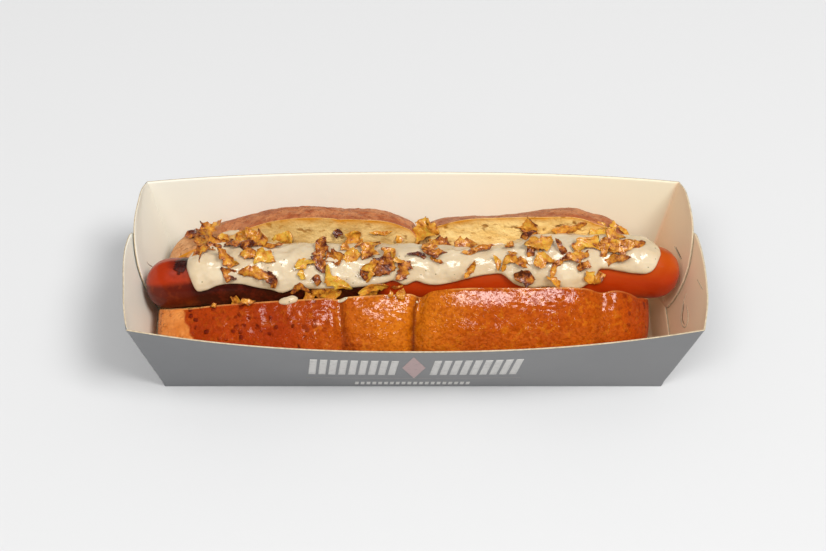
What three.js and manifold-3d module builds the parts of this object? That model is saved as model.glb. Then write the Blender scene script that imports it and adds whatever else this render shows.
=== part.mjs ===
// A hot dog in its folded paperboard tray: a long glazed loaf split along the top, one long sausage lying
// in the split and standing out past both ends, a thick line of white sauce over it, and crisp fried
// onion scattered on the sauce. Millimetres, +X along the sausage, -Y towards the eater, +Z up, with the
// origin in the middle of the tray's underside.
import * as THREE from "three";
import { mergeVertices } from "three/addons/utils/BufferGeometryUtils.js";
import Module from "manifold-3d";

const wasm = await Module();
wasm.setup();

// Driving dimensions
const BASE_LENGTH = 230; // the tray's flat floor
const BASE_WIDTH = 68.7;
const WALL_SLANT = 55.3; // height of the long walls, measured on the board
const LEAN_AT_CORNER = THREE.MathUtils.degToRad(11.8); // outward lean of the walls where they are folded
const LEAN_AT_MIDDLE = THREE.MathUtils.degToRad(22.4); // and where the bread pushes them apart
const BOW_POWER = 2.3; // how late towards the corner the lean falls off
const BOARD = 0.7; // thickness of the paperboard
const LAYER_STEP = 0.45; // how far each end layer lies outside the one before
const FOLD = 0.3; // how far boards run into each other along a fold
const GAP = 0.3; // air between pieces that touch

const SAUSAGE_RADIUS = 12.4;
const SAUSAGE_HALF_LENGTH = 123;
const SAUSAGE_CAP = 13; // length of each rounded end

const LOAF_LEFT = -117;
const LOAF_RIGHT = 108;
const LOAF_WAIST = 29; // height of the loaf's widest line
const SPLIT_FRONT = -23; // where the cut meets the crust, in front of and behind the sausage
const SPLIT_BACK = 20;
const SPLIT_FLOOR = 27; // height of the bottom of the cut

const SAUCE_THICKNESS = 3.9;
const ONION_SEED = 7;

const HALF_LENGTH = BASE_LENGTH / 2;
const HALF_WIDTH = BASE_WIDTH / 2;
const TRAY_HEIGHT = WALL_SLANT * Math.cos(LEAN_AT_CORNER);

// A smooth curve through a few (place, value) pairs, level past both ends
function through(pairs) {
  const curve = new THREE.SplineCurve(pairs.map(([x, v]) => new THREE.Vector2(x, v)));
  const points = curve.getPoints(pairs.length * 12);
  return (x) => {
    const after = points.findIndex((p) => p.x >= x);
    if (after === 0) return pairs[0][1];
    if (after < 0) return pairs[pairs.length - 1][1];
    const a = points[after - 1];
    const b = points[after];
    return THREE.MathUtils.lerp(a.y, b.y, (x - a.x) / (b.x - a.x || 1));
  };
}

const bell = (distance, width) => Math.exp(-((distance / width) ** 2));

// A repeatable draw between two numbers
function dice(seed) {
  let state = seed;
  return (low, high) => {
    state = (state * 1664525 + 1013904223) % 4294967296;
    return low + ((high - low) * state) / 4294967296;
  };
}

// A closed three.js geometry whose points are moved by a shape function, as a solid
function solid(geometry, shape = (p) => p) {
  const bare = geometry.clone();
  for (const name of ["normal", "uv"]) bare.deleteAttribute(name);
  const place = bare.getAttribute("position");
  const p = new THREE.Vector3();
  const merged = mergeVertices(bare, 1e-5);
  const at = merged.getAttribute("position");
  for (let i = 0; i < at.count; i++) {
    const moved = shape(p.fromBufferAttribute(at, i));
    at.setXYZ(i, moved.x, moved.y, moved.z);
  }
  const faces = [];
  for (let i = 0; i < merged.index.count; i += 3) {
    const [a, b, c] = [0, 1, 2].map((k) => merged.index.getX(i + k));
    if (a !== b && b !== c && c !== a) faces.push(a, b, c);
  }
  const made = (order) =>
    new wasm.Manifold(
      new wasm.Mesh({ numProp: 3, vertProperties: new Float32Array(at.array), triVerts: new Uint32Array(order) }),
    );
  const first = made(faces);
  if (first.volume() > 0) return first;
  for (let i = 0; i < faces.length; i += 3) [faces[i + 1], faces[i + 2]] = [faces[i + 2], faces[i + 1]];
  return made(faces);
}

// The one outer body of a solid: loose scraps are dropped and sealed hollows filled
function outerBody(made) {
  return made.decompose().reduce((best, piece) => (piece.volume() > best.volume() ? piece : best));
}

// A named mesh from a solid, in its own material
function node(name, made, color, roughness) {
  const got = outerBody(made).getMesh();
  const geometry = new THREE.BufferGeometry();
  geometry.setAttribute("position", new THREE.BufferAttribute(new Float32Array(got.vertProperties), 3));
  geometry.setIndex(new THREE.BufferAttribute(new Uint32Array(got.triVerts), 1));
  geometry.computeVertexNormals();
  const mesh = new THREE.Mesh(geometry, new THREE.MeshStandardMaterial({ color, roughness, metalness: 0 }));
  mesh.name = name;
  return mesh;
}

const box = (nx, ny, nz) => new THREE.BoxGeometry(1, 1, 1, nx, ny, nz).translate(0.5, 0.5, 0.5);

// Tray
// How far the long walls lean out at a place along the tray
function lean(x) {
  const along = Math.min(1, Math.abs(x) / HALF_LENGTH) ** BOW_POWER;
  return THREE.MathUtils.lerp(LEAN_AT_MIDDLE, LEAN_AT_CORNER, along);
}

const END_FLARE = WALL_SLANT * Math.sin(LEAN_AT_CORNER);
const END_SLOPE = END_FLARE / TRAY_HEIGHT;
const END_BULGE = 3.4; // how far the end flaps belly out at the rim
const TUCK = 2.1; // how much less the front wall flares at its left end, at the rim

// The inner face of a long wall: share runs from end to end, slant up the board
function wallPoint(side, share, slant) {
  const x = (share * 2 - 1) * HALF_LENGTH;
  const angle = lean(x);
  const full = side < 0 && share < 0.5 ? END_FLARE - TUCK : END_FLARE;
  const flare = ((share * 2 - 1) * full * slant) / WALL_SLANT;
  return new THREE.Vector3(x + flare, side * (HALF_WIDTH + slant * Math.sin(angle)), slant * Math.cos(angle));
}

const WALL_STEPS = 20;

function longWall(side) {
  return solid(box(WALL_STEPS, 1, 1), (p) => {
    const at = wallPoint(side, p.x, p.y * WALL_SLANT);
    const angle = lean(at.x);
    at.y += side * p.z * BOARD * Math.cos(angle);
    at.z -= p.z * BOARD * Math.sin(angle) * p.y;
    return at;
  });
}

// The inner face of an end, before its layers are put outside each other
function endDistance(y, z) {
  const rise = z / TRAY_HEIGHT;
  const reach = HALF_WIDTH + END_FLARE * rise;
  return HALF_LENGTH + END_SLOPE * z + END_BULGE * rise * (1 - (y / reach) ** 2);
}

// Outlines on the end's own plane, as (across, up). The low panel is nearest the food, then the back
// wall's flap, then the front wall's, which is drawn in with that wall at the left end
const CORNER = HALF_WIDTH + END_FLARE;
const PANEL = { layer: 0, height: 16.5, chamfer: 9 };
const BACK_FLAP = {
  layer: 1,
  side: 1,
  rim: [[CORNER, TRAY_HEIGHT], [38, 56.6], [27, 56.6], [17, 55], [7, 50], [0, 43.5], [-3.6, 35], [-4, 26], [-2.5, 18]],
};
const FRONT_FLAP = {
  layer: 2,
  side: -1,
  rim: [[-CORNER, TRAY_HEIGHT], [-37, 56.2], [-22, 56.6], [-6, 56.2], [5, 55.2], [13.5, 53], [17, 46], [16, 38], [12, 27], [6, 18]],
};
const FLAP_EDGE_STEPS = 14;

function endShape(outline) {
  return outline.reduce((shape, [y, z], i) => (i ? shape.lineTo(y, z) : shape.moveTo(y, z), shape), new THREE.Shape());
}

// One layer of an end: a curved board cut to its outline
function endLayer(end, outline, layer, tuck = 0) {
  const [low, high] = [-CORNER - 6, CORNER + 6];
  const top = TRAY_HEIGHT + 8;
  const board = solid(box(1, 10, 5), (p) => {
    const y = THREE.MathUtils.lerp(low, high, p.y);
    const z = THREE.MathUtils.lerp(-2, top, p.z);
    const drawnIn = tuck * (z / TRAY_HEIGHT) * THREE.MathUtils.smoothstep(-y, -5, 30);
    const x = endDistance(y, z) + layer * LAYER_STEP - drawnIn + p.x * BOARD - FOLD;
    return new THREE.Vector3(end * x, y, z);
  });
  const reach = 2 * HALF_LENGTH;
  const cutter = new THREE.ExtrudeGeometry(endShape(outline), { depth: reach, bevelEnabled: false });
  return board.intersect(solid(cutter, (p) => new THREE.Vector3((p.z - reach / 2) * 2, p.x, p.y)));
}

function flapOutline({ side, rim }) {
  const curve = new THREE.SplineCurve(rim.map(([y, z]) => new THREE.Vector2(y, z)));
  const edge = curve.getPoints(FLAP_EDGE_STEPS).map((p) => [p.x, p.y]);
  const [y, z] = edge[0];
  edge[0] = [y + side * FOLD, z - FOLD];
  return [[side * (HALF_WIDTH + FOLD), 0], ...edge];
}

function tray() {
  let made = solid(box(1, 1, 1), (p) =>
    new THREE.Vector3((p.x * 2 - 1) * (HALF_LENGTH + BOARD / 2), (p.y * 2 - 1) * (HALF_WIDTH + BOARD / 2), p.z * BOARD),
  );
  for (const side of [-1, 1]) made = made.add(longWall(side));
  const top = HALF_WIDTH - PANEL.chamfer;
  const panel = [[-HALF_WIDTH, 0], [HALF_WIDTH, 0], [top, PANEL.height], [-top, PANEL.height]];
  for (const end of [-1, 1]) {
    made = made.add(endLayer(end, flapOutline(BACK_FLAP), BACK_FLAP.layer));
    made = made.add(endLayer(end, flapOutline(FRONT_FLAP), FRONT_FLAP.layer, end < 0 ? TUCK : 0));
    made = made.add(endLayer(end, panel, PANEL.layer));
  }
  return made;
}

// The free inside of the tray, a gap away from the board
function trayInside() {
  return solid(box(WALL_STEPS, 1, 3), (p) => {
    const at = wallPoint(p.y < 0.5 ? -1 : 1, p.x, p.z * WALL_SLANT * 1.5);
    at.y -= Math.sign(at.y) * GAP * 2;
    return at;
  });
}

// Sausage
// The height and sideways place of its middle line
const sausageLine = (x) => {
  const t = x / SAUSAGE_HALF_LENGTH;
  return { y: -1.7 + 2.6 * t, z: 39.5 + 1.6 * t - 0.8 * t * t };
};

// Thickness along its length, with rounded ends, and grown all over by a margin
function sausageRadius(x, margin) {
  const into = Math.max(0, Math.abs(x) - (SAUSAGE_HALF_LENGTH - SAUSAGE_CAP)) / SAUSAGE_CAP;
  return (SAUSAGE_RADIUS + margin) * Math.sqrt(Math.max(0, 1 - into ** 2.3));
}

function sausage(margin = 0) {
  const steps = 30;
  const sides = 20;
  const half = SAUSAGE_HALF_LENGTH;
  const profile = Array.from({ length: steps + 1 }, (_, i) => {
    const t = (i / steps) * 2 - 1;
    const x = half * Math.sign(t) * (1 - (1 - Math.abs(t)) ** 1.9);
    return new THREE.Vector2(i === 0 || i === steps ? 0 : sausageRadius(x, margin), x * (1 + margin / half));
  });
  return solid(new THREE.LatheGeometry(profile, sides), (p) => {
    const line = sausageLine(p.y);
    return new THREE.Vector3(p.y, line.y + p.x, line.z + p.z);
  });
}

// Bread
// Height of the crust where the cut meets it, along the front and the back half, before the creases
const frontEdge = through([[-117, 39], [-96, 43], [-69, 46.3], [-30, 49.8], [-4, 52.5], [12, 55], [48, 55.8], [80, 55.4], [101, 49.6], [108, 40]]);
const backEdge = through([[-117, 31], [-100, 40.5], [-81, 49.3], [-66, 55.4], [-52, 57.6], [-25, 56.4], [3, 55], [27, 56.6], [59, 58], [77, 56.7], [97, 48], [108, 39]]);

// The creases between the loaf's lobes: place, width, and depth in the front and in the back half
const CREASES = [
  { x: 3, width: 12, front: 1.4, back: 6.5 },
  { x: 3.5, width: 4, front: 3.2, back: 5 },
  { x: -33, width: 4, front: 1.6, back: 0.6 },
  { x: 84, width: 4, front: 1.8, back: 1 },
  { x: -99, width: 4, front: 0.8, back: 1 },
];

const creaseDepth = (x, frontness) =>
  CREASES.reduce((sum, c) => sum + bell(x - c.x, c.width) * THREE.MathUtils.lerp(c.back, c.front, frontness), 0);

// Places along the loaf, from 0 to 1, that lie closer together at the creases and the ends
function stations(count) {
  const fine = 400;
  const crowding = Array.from({ length: fine }, (_, i) => {
    const t = (i + 0.5) / fine;
    const x = THREE.MathUtils.lerp(LOAF_LEFT, LOAF_RIGHT, t);
    const ends = bell(t, 0.06) + bell(1 - t, 0.06);
    return 1 + 3.2 * ends + 0.5 * creaseDepth(x, 0.6);
  });
  const total = crowding.reduce((sum, c) => sum + c, 0);
  let passed = 0;
  let next = 0;
  const places = [];
  crowding.forEach((c, i) => {
    while (next <= count && passed + c >= (next * total) / count - 1e-9) {
      places.push((i + ((next * total) / count - passed) / c) / fine);
      next += 1;
    }
    passed += c;
  });
  places[count] = 1;
  return places;
}

const FRONT = { halfWidth: 45, power: 2.4, split: SPLIT_FRONT };
const BACK = { halfWidth: 41, power: 2.2, split: SPLIT_BACK };
const LOWER_POWER = 2.6;
const END_POWER = 5.5;

// A point of the unit ball, as the loaf's: each half has its own width, height and roundness
function loafPoint(p) {
  const k = Math.hypot(p.x, p.z);
  if (k < 1e-6) return new THREE.Vector3(THREE.MathUtils.lerp(LOAF_LEFT, LOAF_RIGHT, (p.y + 1) / 2), 0, LOAF_WAIST);
  const x = THREE.MathUtils.lerp(LOAF_LEFT, LOAF_RIGHT, (p.y + 1) / 2);
  const [across, up] = [p.x / k, p.z / k];
  const half = across < 0 ? FRONT : BACK;
  const edge = across < 0 ? frontEdge(x) : backEdge(x);
  const frontness = THREE.MathUtils.smoothstep(-across, -0.35, 0.35);
  const power = up > 0 ? half.power : LOWER_POWER;
  const size = (Math.abs(across) ** power + Math.abs(up) ** power) ** (-1 / power);
  const share = (1 - Math.abs(half.split / half.halfWidth) ** half.power) ** (1 / half.power);
  const height = up > 0 ? (edge - LOAF_WAIST) / share : LOAF_WAIST - BOARD - GAP;
  const crease = 1 - creaseDepth(x, frontness) / 30;
  return new THREE.Vector3(
    x,
    k * size * across * half.halfWidth * (0.4 + 0.6 * crease),
    LOAF_WAIST + k * size * up * height * (up > 0 ? crease : 1),
  );
}

function loaf() {
  const steps = 50;
  const sides = 30;
  const places = stations(steps);
  const profile = places.map((t, i) => {
    const along = t * 2 - 1;
    return new THREE.Vector2(i === 0 || i === steps ? 0 : (1 - Math.abs(along) ** END_POWER) ** (1 / END_POWER), along);
  });
  return solid(new THREE.LatheGeometry(profile, sides), loafPoint);
}

// Height of the crust at the cut, creases and all
const edgeHeight = (x, edge, frontness) =>
  LOAF_WAIST + (edge(x) - LOAF_WAIST) * (1 - creaseDepth(x, frontness) / 30);

// The opened cut: its two faces lean apart from the floor of the cut to the crust, and on upwards
function split(margin = 0) {
  const steps = 40;
  const places = stations(steps);
  const top = 78;
  return solid(box(steps, 2, 1), (p) => {
    const along = places[Math.round(p.x * steps)] * 2 - 1;
    const x = along * (SAUSAGE_HALF_LENGTH + 8);
    const line = sausageLine(x);
    const z = THREE.MathUtils.lerp(SPLIT_FLOOR, top, p.z) + margin;
    const rise = (edge, frontness) => (z - margin - SPLIT_FLOOR) / (edgeHeight(x, edge, frontness) - SPLIT_FLOOR);
    const front = THREE.MathUtils.lerp(line.y - 6, SPLIT_FRONT, rise(frontEdge, 1)) + margin;
    const back = THREE.MathUtils.lerp(line.y + 6, SPLIT_BACK, rise(backEdge, 0)) - margin;
    return new THREE.Vector3(x, THREE.MathUtils.lerp(front, back, p.y), z);
  });
}

function bread() {
  return loaf().intersect(trayInside()).subtract(split()).subtract(sausage(GAP));
}

// Sauce
// How far the sauce runs down the sausage's front and back, as an angle from straight up, in degrees
const frontLip = through([[-105, -46], [-98, -64], [-93, -60], [-81, -49], [-70, -63], [-61, -72], [-45, -62], [-29, -66], [-13, -54], [-8, -48], [-3, -58], [2, -50], [12, -61], [25, -49], [40, -42], [48, -70], [56, -75], [80, -73], [87, -38], [98, -43], [107, -47], [116, -30]]);
const backLip = through([[-105, 44], [-92, 74], [-60, 66], [-10, 68], [40, 70], [52, 84], [80, 86], [100, 76], [116, 40]]);
const sauceBody = through([[-105, 0.75], [-98, 1.1], [-80, 0.9], [-50, 1], [0, 0.85], [14, 0.8], [35, 0.68], [42, 0.7], [52, 1.25], [75, 1.2], [100, 1], [116, 0.8]]);
const SAUCE_LEFT = -106;
const SAUCE_RIGHT = 114;

function sauceLine() {
  const steps = 50;
  const arc = 9;
  const inner = SAUSAGE_RADIUS - 2.5;
  const profile = box(steps, arc, 1);
  return solid(profile, (p) => {
    const x = THREE.MathUtils.lerp(SAUCE_LEFT, SAUCE_RIGHT, p.x);
    const line = sausageLine(x);
    const into = Math.min(x - SAUCE_LEFT, SAUCE_RIGHT - x);
    const closing = Math.sqrt(Math.min(1, into / 7 + 0.02));
    const [front, back] = [frontLip(x), backLip(x)].map((a) => THREE.MathUtils.degToRad(a) * closing);
    const angle = THREE.MathUtils.lerp(front, back, p.y);
    const roundness = (1 - Math.abs(p.y * 2 - 1) ** 3.2) ** (1 / 3.2);
    const thick = SAUCE_THICKNESS * sauceBody(x) * closing * Math.max(0.12, roundness);
    const radius = THREE.MathUtils.lerp(inner, SAUSAGE_RADIUS + thick, p.z);
    return new THREE.Vector3(x, line.y + radius * Math.sin(angle), line.z + radius * Math.cos(angle));
  });
}

// Fried onion
// The larger flakes: place along the sausage, angle round it, length, width, turn in degrees
const FLAKES = [
  [-103, 50, 9, 5, 10], [-93, 34, 19, 5, -28], [-98, 8, 9, 7, 30], [-87, -6, 11, 5, -32], [-85, -44, 5, 5, 80],
  [-72, -30, 15, 4.5, -48], [-78, 44, 8, 7, 40], [-75, 16, 8, 6, 0], [-69, 2, 7, 7, 60], [-65, 20, 7, 4, -20],
  [-60, 46, 9, 7.5, 15], [-51, -12, 7.5, 6.5, 20], [-43, 6, 12, 6.5, 75], [-36, 0, 9, 6, 20], [-29, 36, 9, 9, 60],
  [-38, -46, 13, 5, -50], [-19, 12, 9.5, 7, 80], [-11, 8, 8.5, 7, -50], [-19, -34, 12, 10, 30], [-5, -36, 8.5, 8, 45],
  [-8, 46, 8, 6, -35], [7, 50, 10, 8, 70], [14, 42, 8, 5.5, 10], [3, 14, 11, 3.5, -80], [11, 8, 9, 6, 10],
  [26, 34, 10, 6.5, 20], [33, 30, 8, 5, -40], [27, -22, 12, 3.5, 65], [9, -60, 8, 5, 10], [44, 12, 13, 5, 70],
  [53, 58, 8, 10, 80], [53, -2, 9, 4.5, -50], [59, 26, 11, 10, 0], [62, 0, 8, 7, 30], [68, 22, 10, 4, -70],
  [67, -32, 13, 4.2, 60], [52, -46, 9, 7.5, 10], [80, 22, 13, 11, 40], [87, 50, 9, 8, 20], [94, 44, 10, 8, -30],
  [71, 60, 15, 5, 12], [97, 20, 15, 8, 10], [94, -18, 12, 6, -8], [84, -52, 7, 6, 20], [75, -4, 9, 6, -25],
];
const FLAKE_THICKNESS = 1.7;

// A flake is a thin strip that curls along its length, with ragged edges
function flake(draw, [x, degrees, length, width, turn]) {
  const line = sausageLine(x);
  const out = SAUSAGE_RADIUS + SAUCE_THICKNESS * sauceBody(x) * 0.8;
  const curl = draw(0.7, 1.7);
  const radius = length / curl;
  const place = new THREE.Matrix4()
    .makeTranslation(x, line.y, line.z)
    .multiply(new THREE.Matrix4().makeRotationX(THREE.MathUtils.degToRad(-degrees)))
    .multiply(new THREE.Matrix4().makeTranslation(0, 0, out))
    .multiply(new THREE.Matrix4().makeRotationZ(THREE.MathUtils.degToRad(turn)))
    .multiply(new THREE.Matrix4().makeRotationX(draw(-0.4, 0.4)));
  const ragged = Array.from({ length: 10 }, () => draw(0.6, 1.15));
  return solid(box(4, 1, 1), (p) => {
    const angle = (p.x - 0.5) * curl;
    const edge = ragged[Math.round(p.x * 4) * 2 + Math.round(p.y)];
    const across = (p.y - 0.5) * width * edge * Math.cos((p.x - 0.5) * 2.2);
    const rise = radius - FLAKE_THICKNESS * (p.z - 0.3);
    return new THREE.Vector3(Math.sin(angle) * rise, across, radius - Math.cos(angle) * rise).applyMatrix4(place);
  });
}

function sauceWithOnion() {
  const draw = dice(ONION_SEED);
  const topped = FLAKES.reduce((made, row) => made.add(flake(draw, row)), sauceLine());
  return topped.intersect(split(GAP)).subtract(sausage(GAP));
}

// Whole
const hotDog = new THREE.Group();
hotDog.add(node("tray", tray(), "#8a8989", 0.55));
hotDog.add(node("bun", bread(), "#b8621b", 0.4));
hotDog.add(node("sausage", sausage(), "#b5451c", 0.3));
hotDog.add(node("sauce_with_onion", sauceWithOnion(), "#e6d6bb", 0.35));

export default hotDog;
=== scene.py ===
# %% [markdown]
# # A hot dog in its paperboard tray
# The real thing is a glazed bun cut open from above, a long smoked sausage lying in the cut, a thick line
# of white sauce over it and crisp fried onion scattered on top, all in a folded tray of printed board.
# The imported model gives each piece's true size and place. This script gives each its finished surface.
# It starts by loading that model, whose box is kept so that the finished one can be compared with it.

import bpy
import bmesh
import numpy as np
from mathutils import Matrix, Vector
from mathutils.bvhtree import BVHTree


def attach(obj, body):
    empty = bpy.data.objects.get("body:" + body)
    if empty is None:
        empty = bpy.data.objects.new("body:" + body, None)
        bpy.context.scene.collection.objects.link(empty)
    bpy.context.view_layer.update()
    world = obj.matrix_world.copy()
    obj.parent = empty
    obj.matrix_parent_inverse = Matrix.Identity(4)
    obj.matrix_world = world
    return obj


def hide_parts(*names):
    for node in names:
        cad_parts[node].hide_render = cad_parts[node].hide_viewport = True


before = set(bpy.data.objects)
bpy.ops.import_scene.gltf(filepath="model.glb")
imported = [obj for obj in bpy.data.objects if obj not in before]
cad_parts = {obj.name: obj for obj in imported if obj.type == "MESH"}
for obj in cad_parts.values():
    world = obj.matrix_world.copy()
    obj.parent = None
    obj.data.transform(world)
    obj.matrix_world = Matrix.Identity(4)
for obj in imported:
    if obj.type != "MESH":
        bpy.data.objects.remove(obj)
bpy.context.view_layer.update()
MM = 0.001
print("nodes:", sorted(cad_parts))

# %% [markdown]
# ## Curves and grids
# Nearly every surface here is a function of two parameters worked out on a grid with numpy, so a few
# helpers do most of the work: a smooth curve through measured pairs, a smooth step, and the faces
# between the points of a grid.

# %% Curves


def through(pairs):
    """A smooth curve through (place, value) pairs: a cubic between each two, with the neighbours' slope."""
    x, v = np.array(pairs, float).T
    slope = np.gradient(v, x)

    def at(q):
        q = np.clip(np.asarray(q, float), x[0], x[-1])
        i = np.clip(np.searchsorted(x, q) - 1, 0, len(x) - 2)
        h = x[i + 1] - x[i]
        t = (q - x[i]) / h
        rise = v[i] * (2 * t**3 - 3 * t**2 + 1) + v[i + 1] * (3 * t**2 - 2 * t**3)
        lean = slope[i] * (t**3 - 2 * t**2 + t) + slope[i + 1] * (t**3 - t**2)
        return rise + h * lean

    return at


def step(value, low, high):
    """0 below low, 1 above high, and a smooth S between, also where high is the smaller."""
    t = np.clip((value - low) / (high - low), 0, 1)
    return t * t * (3 - 2 * t)


def bell(distance, width):
    return np.exp(-((distance / width) ** 2))


def mix(a, b, share):
    return a + (b - a) * share


def together(*parts):
    """Coordinates as points: each part is a number or a grid, stretched to the size of the others."""
    return np.stack(np.broadcast_arrays(*parts), -1)


def unit(vectors):
    return vectors / np.maximum(np.linalg.norm(vectors, axis=-1, keepdims=True), 1e-9)


def round_angles(count):
    return np.linspace(0, 2 * np.pi, count, endpoint=False)


# %% Noise


def noise(points, size, seed):
    """Value noise from -1 to 1: a random number at each corner of a lattice of that size in mm,
    blended smoothly across each cell."""
    q = np.asarray(points, float) / size + 37.7 * seed
    cell = np.floor(q).astype(np.int64)
    f = q - cell
    f = f * f * (3 - 2 * f)
    total = np.zeros(q.shape[:-1])
    for corner in np.ndindex(2, 2, 2):
        c = cell + np.array(corner)
        n = c[..., 0] * 73856093 ^ c[..., 1] * 19349663 ^ c[..., 2] * 83492791 ^ seed * 7919
        n = (n ^ (n >> 13)) * 1274126177 & 0x7FFFFFFF
        value = ((n ^ (n >> 15)) & 0xFFFF) / 32767.5 - 1
        weight = np.prod(np.where(np.array(corner) == 1, f, 1 - f), axis=-1)
        total += value * weight
    return total


def rough(points, size, seed, octaves=3):
    """Noise at that size, plus half the size at half the strength, and so on."""
    return sum(noise(points, size / 2**i, seed + i) / 2**i for i in range(octaves))


# %% Grids


def grid_faces(rows, columns, wrap=False):
    """The four-cornered faces between the points of a grid; wrap joins the last column to the first."""
    i = np.arange(rows - 1)[:, None]
    j = np.arange(columns if wrap else columns - 1)[None, :]
    k = (j + 1) % columns
    corners = [i * columns + j, i * columns + k, (i + 1) * columns + k, (i + 1) * columns + j]
    return np.stack(corners, -1).reshape(-1, 4)


def grid_normals(points, wrap=False):
    """Unit normals of a grid: the cross product of its two directions."""
    along = np.gradient(points, axis=0)
    across = np.roll(points, -1, 1) - np.roll(points, 1, 1) if wrap else np.gradient(points, axis=1)
    return unit(np.cross(along, across))


def joined(parts):
    """One set of points, faces and kinds from several (points, faces, kind)."""
    points, faces, kinds = zip(*parts)
    starts = np.cumsum([0, *map(len, points)])
    kinds = [np.full(len(quads), kind) for quads, kind in zip(faces, kinds)]
    faces = [quads + start for quads, start in zip(faces, starts)]
    return np.concatenate(points), np.concatenate(faces), np.concatenate(kinds)


def volume(points, faces):
    """Signed volume inside closed faces: positive when they point outwards."""
    a, b, c, d = (points[faces[:, k]] for k in range(4))
    return (np.sum(a * np.cross(b, c)) + np.sum(a * np.cross(c, d))) / 6


# %% Pieces


# Points nearer than this in metres are one
WELD = 2e-6


def make_piece(name, points, faces, materials, node, kinds=None, attributes=None):
    """A mesh object from points in mm, or from a grid closed round its columns where faces is None.
    kinds gives each face's material, attributes a number a point. Doubled points at poles and seams
    are merged, and the faces are turned outwards."""
    if faces is None:
        faces = grid_faces(*points.shape[:2], wrap=True)
    points = points.reshape(-1, 3)
    if volume(points, faces) < 0:
        faces = faces[:, ::-1]
    mesh = bpy.data.meshes.new(name)
    mesh.from_pydata(points * MM, [], faces.tolist())
    for key, values in (attributes or {}).items():
        mesh.attributes.new(key, "FLOAT", "POINT").data.foreach_set("value", np.ravel(values))
    for material in materials:
        mesh.materials.append(material)
    if kinds is not None:
        mesh.polygons.foreach_set("material_index", np.ascontiguousarray(kinds, np.int32))
    welded = bmesh.new()
    welded.from_mesh(mesh)
    bmesh.ops.remove_doubles(welded, verts=welded.verts, dist=WELD)
    welded.to_mesh(mesh)
    welded.free()
    mesh.shade_smooth()
    piece = bpy.data.objects.new(name, mesh)
    bpy.context.scene.collection.objects.link(piece)
    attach(piece, "root")
    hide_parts(node)
    print(f"{name}: {len(mesh.polygons)} faces")
    return piece


# %% [markdown]
# ## Materials
# Each finish starts from what the real surface is. One function turns a hex colour to linear light, and
# one adds a shader node with its settings and links. Finish holds one material while it is built. Its
# patterns are sized in millimetres: a texture node reads object coordinates in metres, so a pattern of a
# given size has a scale of one over that size.

# %% Shader helpers


def linear(code):
    """An sRGB hex colour as linear RGBA."""
    c = np.array([int(code[i : i + 2], 16) for i in (1, 3, 5)]) / 255
    c = np.where(c <= 0.04045, c / 12.92, ((c + 0.055) / 1.055) ** 2.4)
    return (*c, 1.0)


def add(tree, kind, settings=None, **inputs):
    """Adds a node. settings are its own properties, inputs its sockets by name or number: a socket of
    another node is linked, anything else is set as its value."""
    node = tree.nodes.new("ShaderNode" + kind)
    for key, value in (settings or {}).items():
        setattr(node, key, value)
    for key, value in inputs.items():
        key = key.replace("_", " ")
        socket = node.inputs[int(key[1:])] if key[0] == "i" and key[1:].isdigit() else node.inputs[key]
        if isinstance(value, bpy.types.NodeSocket):
            tree.links.new(value, socket)
        else:
            socket.default_value = value
    return node


class Finish:
    """A material: one Principled shader, whose constants are set on its own sockets, and the patterns
    that feed it. Colours are hex codes or sockets."""

    def __init__(self, name, **surface):
        self.material = bpy.data.materials.new(name)
        self.material.use_nodes = True
        self.tree = self.material.node_tree
        self.tree.nodes.clear()
        self.shader = add(self.tree, "BsdfPrincipled")
        for key, value in surface.items():
            self.shader.inputs[key.replace("_", " ")].default_value = value
        out = add(self.tree, "OutputMaterial")
        self.tree.links.new(self.shader.outputs[0], out.inputs[0])
        self.place = add(self.tree, "TexCoord").outputs["Object"]

    def link(self, name, socket):
        self.tree.links.new(socket, self.shader.inputs[name])

    def mark(self, name):
        """The number that the mesh carries at each point under that name."""
        return add(self.tree, "Attribute", {"attribute_name": name}).outputs["Fac"]

    def math(self, operation, a, b):
        return add(self.tree, "Math", {"operation": operation}, i0=a, i1=b).outputs[0]

    def times(self, a, b):
        return self.math("MULTIPLY", a, b)

    def plus(self, a, b):
        return self.math("ADD", a, b)

    def inverse(self, a):
        return self.math("SUBTRACT", 1.0, a)

    def blend(self, share, first, second):
        """first where share is 0, second where it is 1."""
        a, b = (linear(c) if isinstance(c, str) else c for c in (first, second))
        return add(self.tree, "Mix", {"data_type": "RGBA"}, i0=share, i6=a, i7=b).outputs[2]

    def ramp(self, value, low, high):
        """0 where value is under low and 1 over high, with a smooth step between."""
        settings = {"interpolation_type": "SMOOTHSTEP"}
        return add(self.tree, "MapRange", settings, Value=value, From_Min=low, From_Max=high).outputs[0]

    def grain(self, size_mm, detail=3.0, roughness=0.55, distortion=0.0, place=None):
        """A noise pattern whose blotches are about that size."""
        made = add(
            self.tree, "TexNoise", Vector=place or self.place, Scale=0.5 / (size_mm * MM),
            Detail=detail, Roughness=roughness, Distortion=distortion,
        )
        return made.outputs[0]

    def ragged(self, size_mm, detail, roughness, strength):
        """The same noise about 0, times a strength: it makes the edge of what it is added to uneven."""
        return self.times(self.math("SUBTRACT", self.grain(size_mm, detail, roughness), 0.5), strength)

    def cells(self, size_mm):
        """The distance to the nearest of scattered points about that far apart, for spots."""
        made = add(
            self.tree, "TexVoronoi", {"feature": "F1"},
            Vector=self.place, Scale=1 / (size_mm * MM), Randomness=1.0,
        )
        return made.outputs["Distance"]

    def relief(self, heights, socket="Normal"):
        """Bumps from (height socket, depth in mm) pairs, one on top of the other."""
        normal = None
        for height, depth in heights:
            bump = add(self.tree, "Bump", Height=height, Distance=depth * MM, Strength=1.0)
            if normal is not None:
                self.tree.links.new(normal, bump.inputs["Normal"])
            normal = bump.outputs[0]
        self.link(socket, normal)


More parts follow.
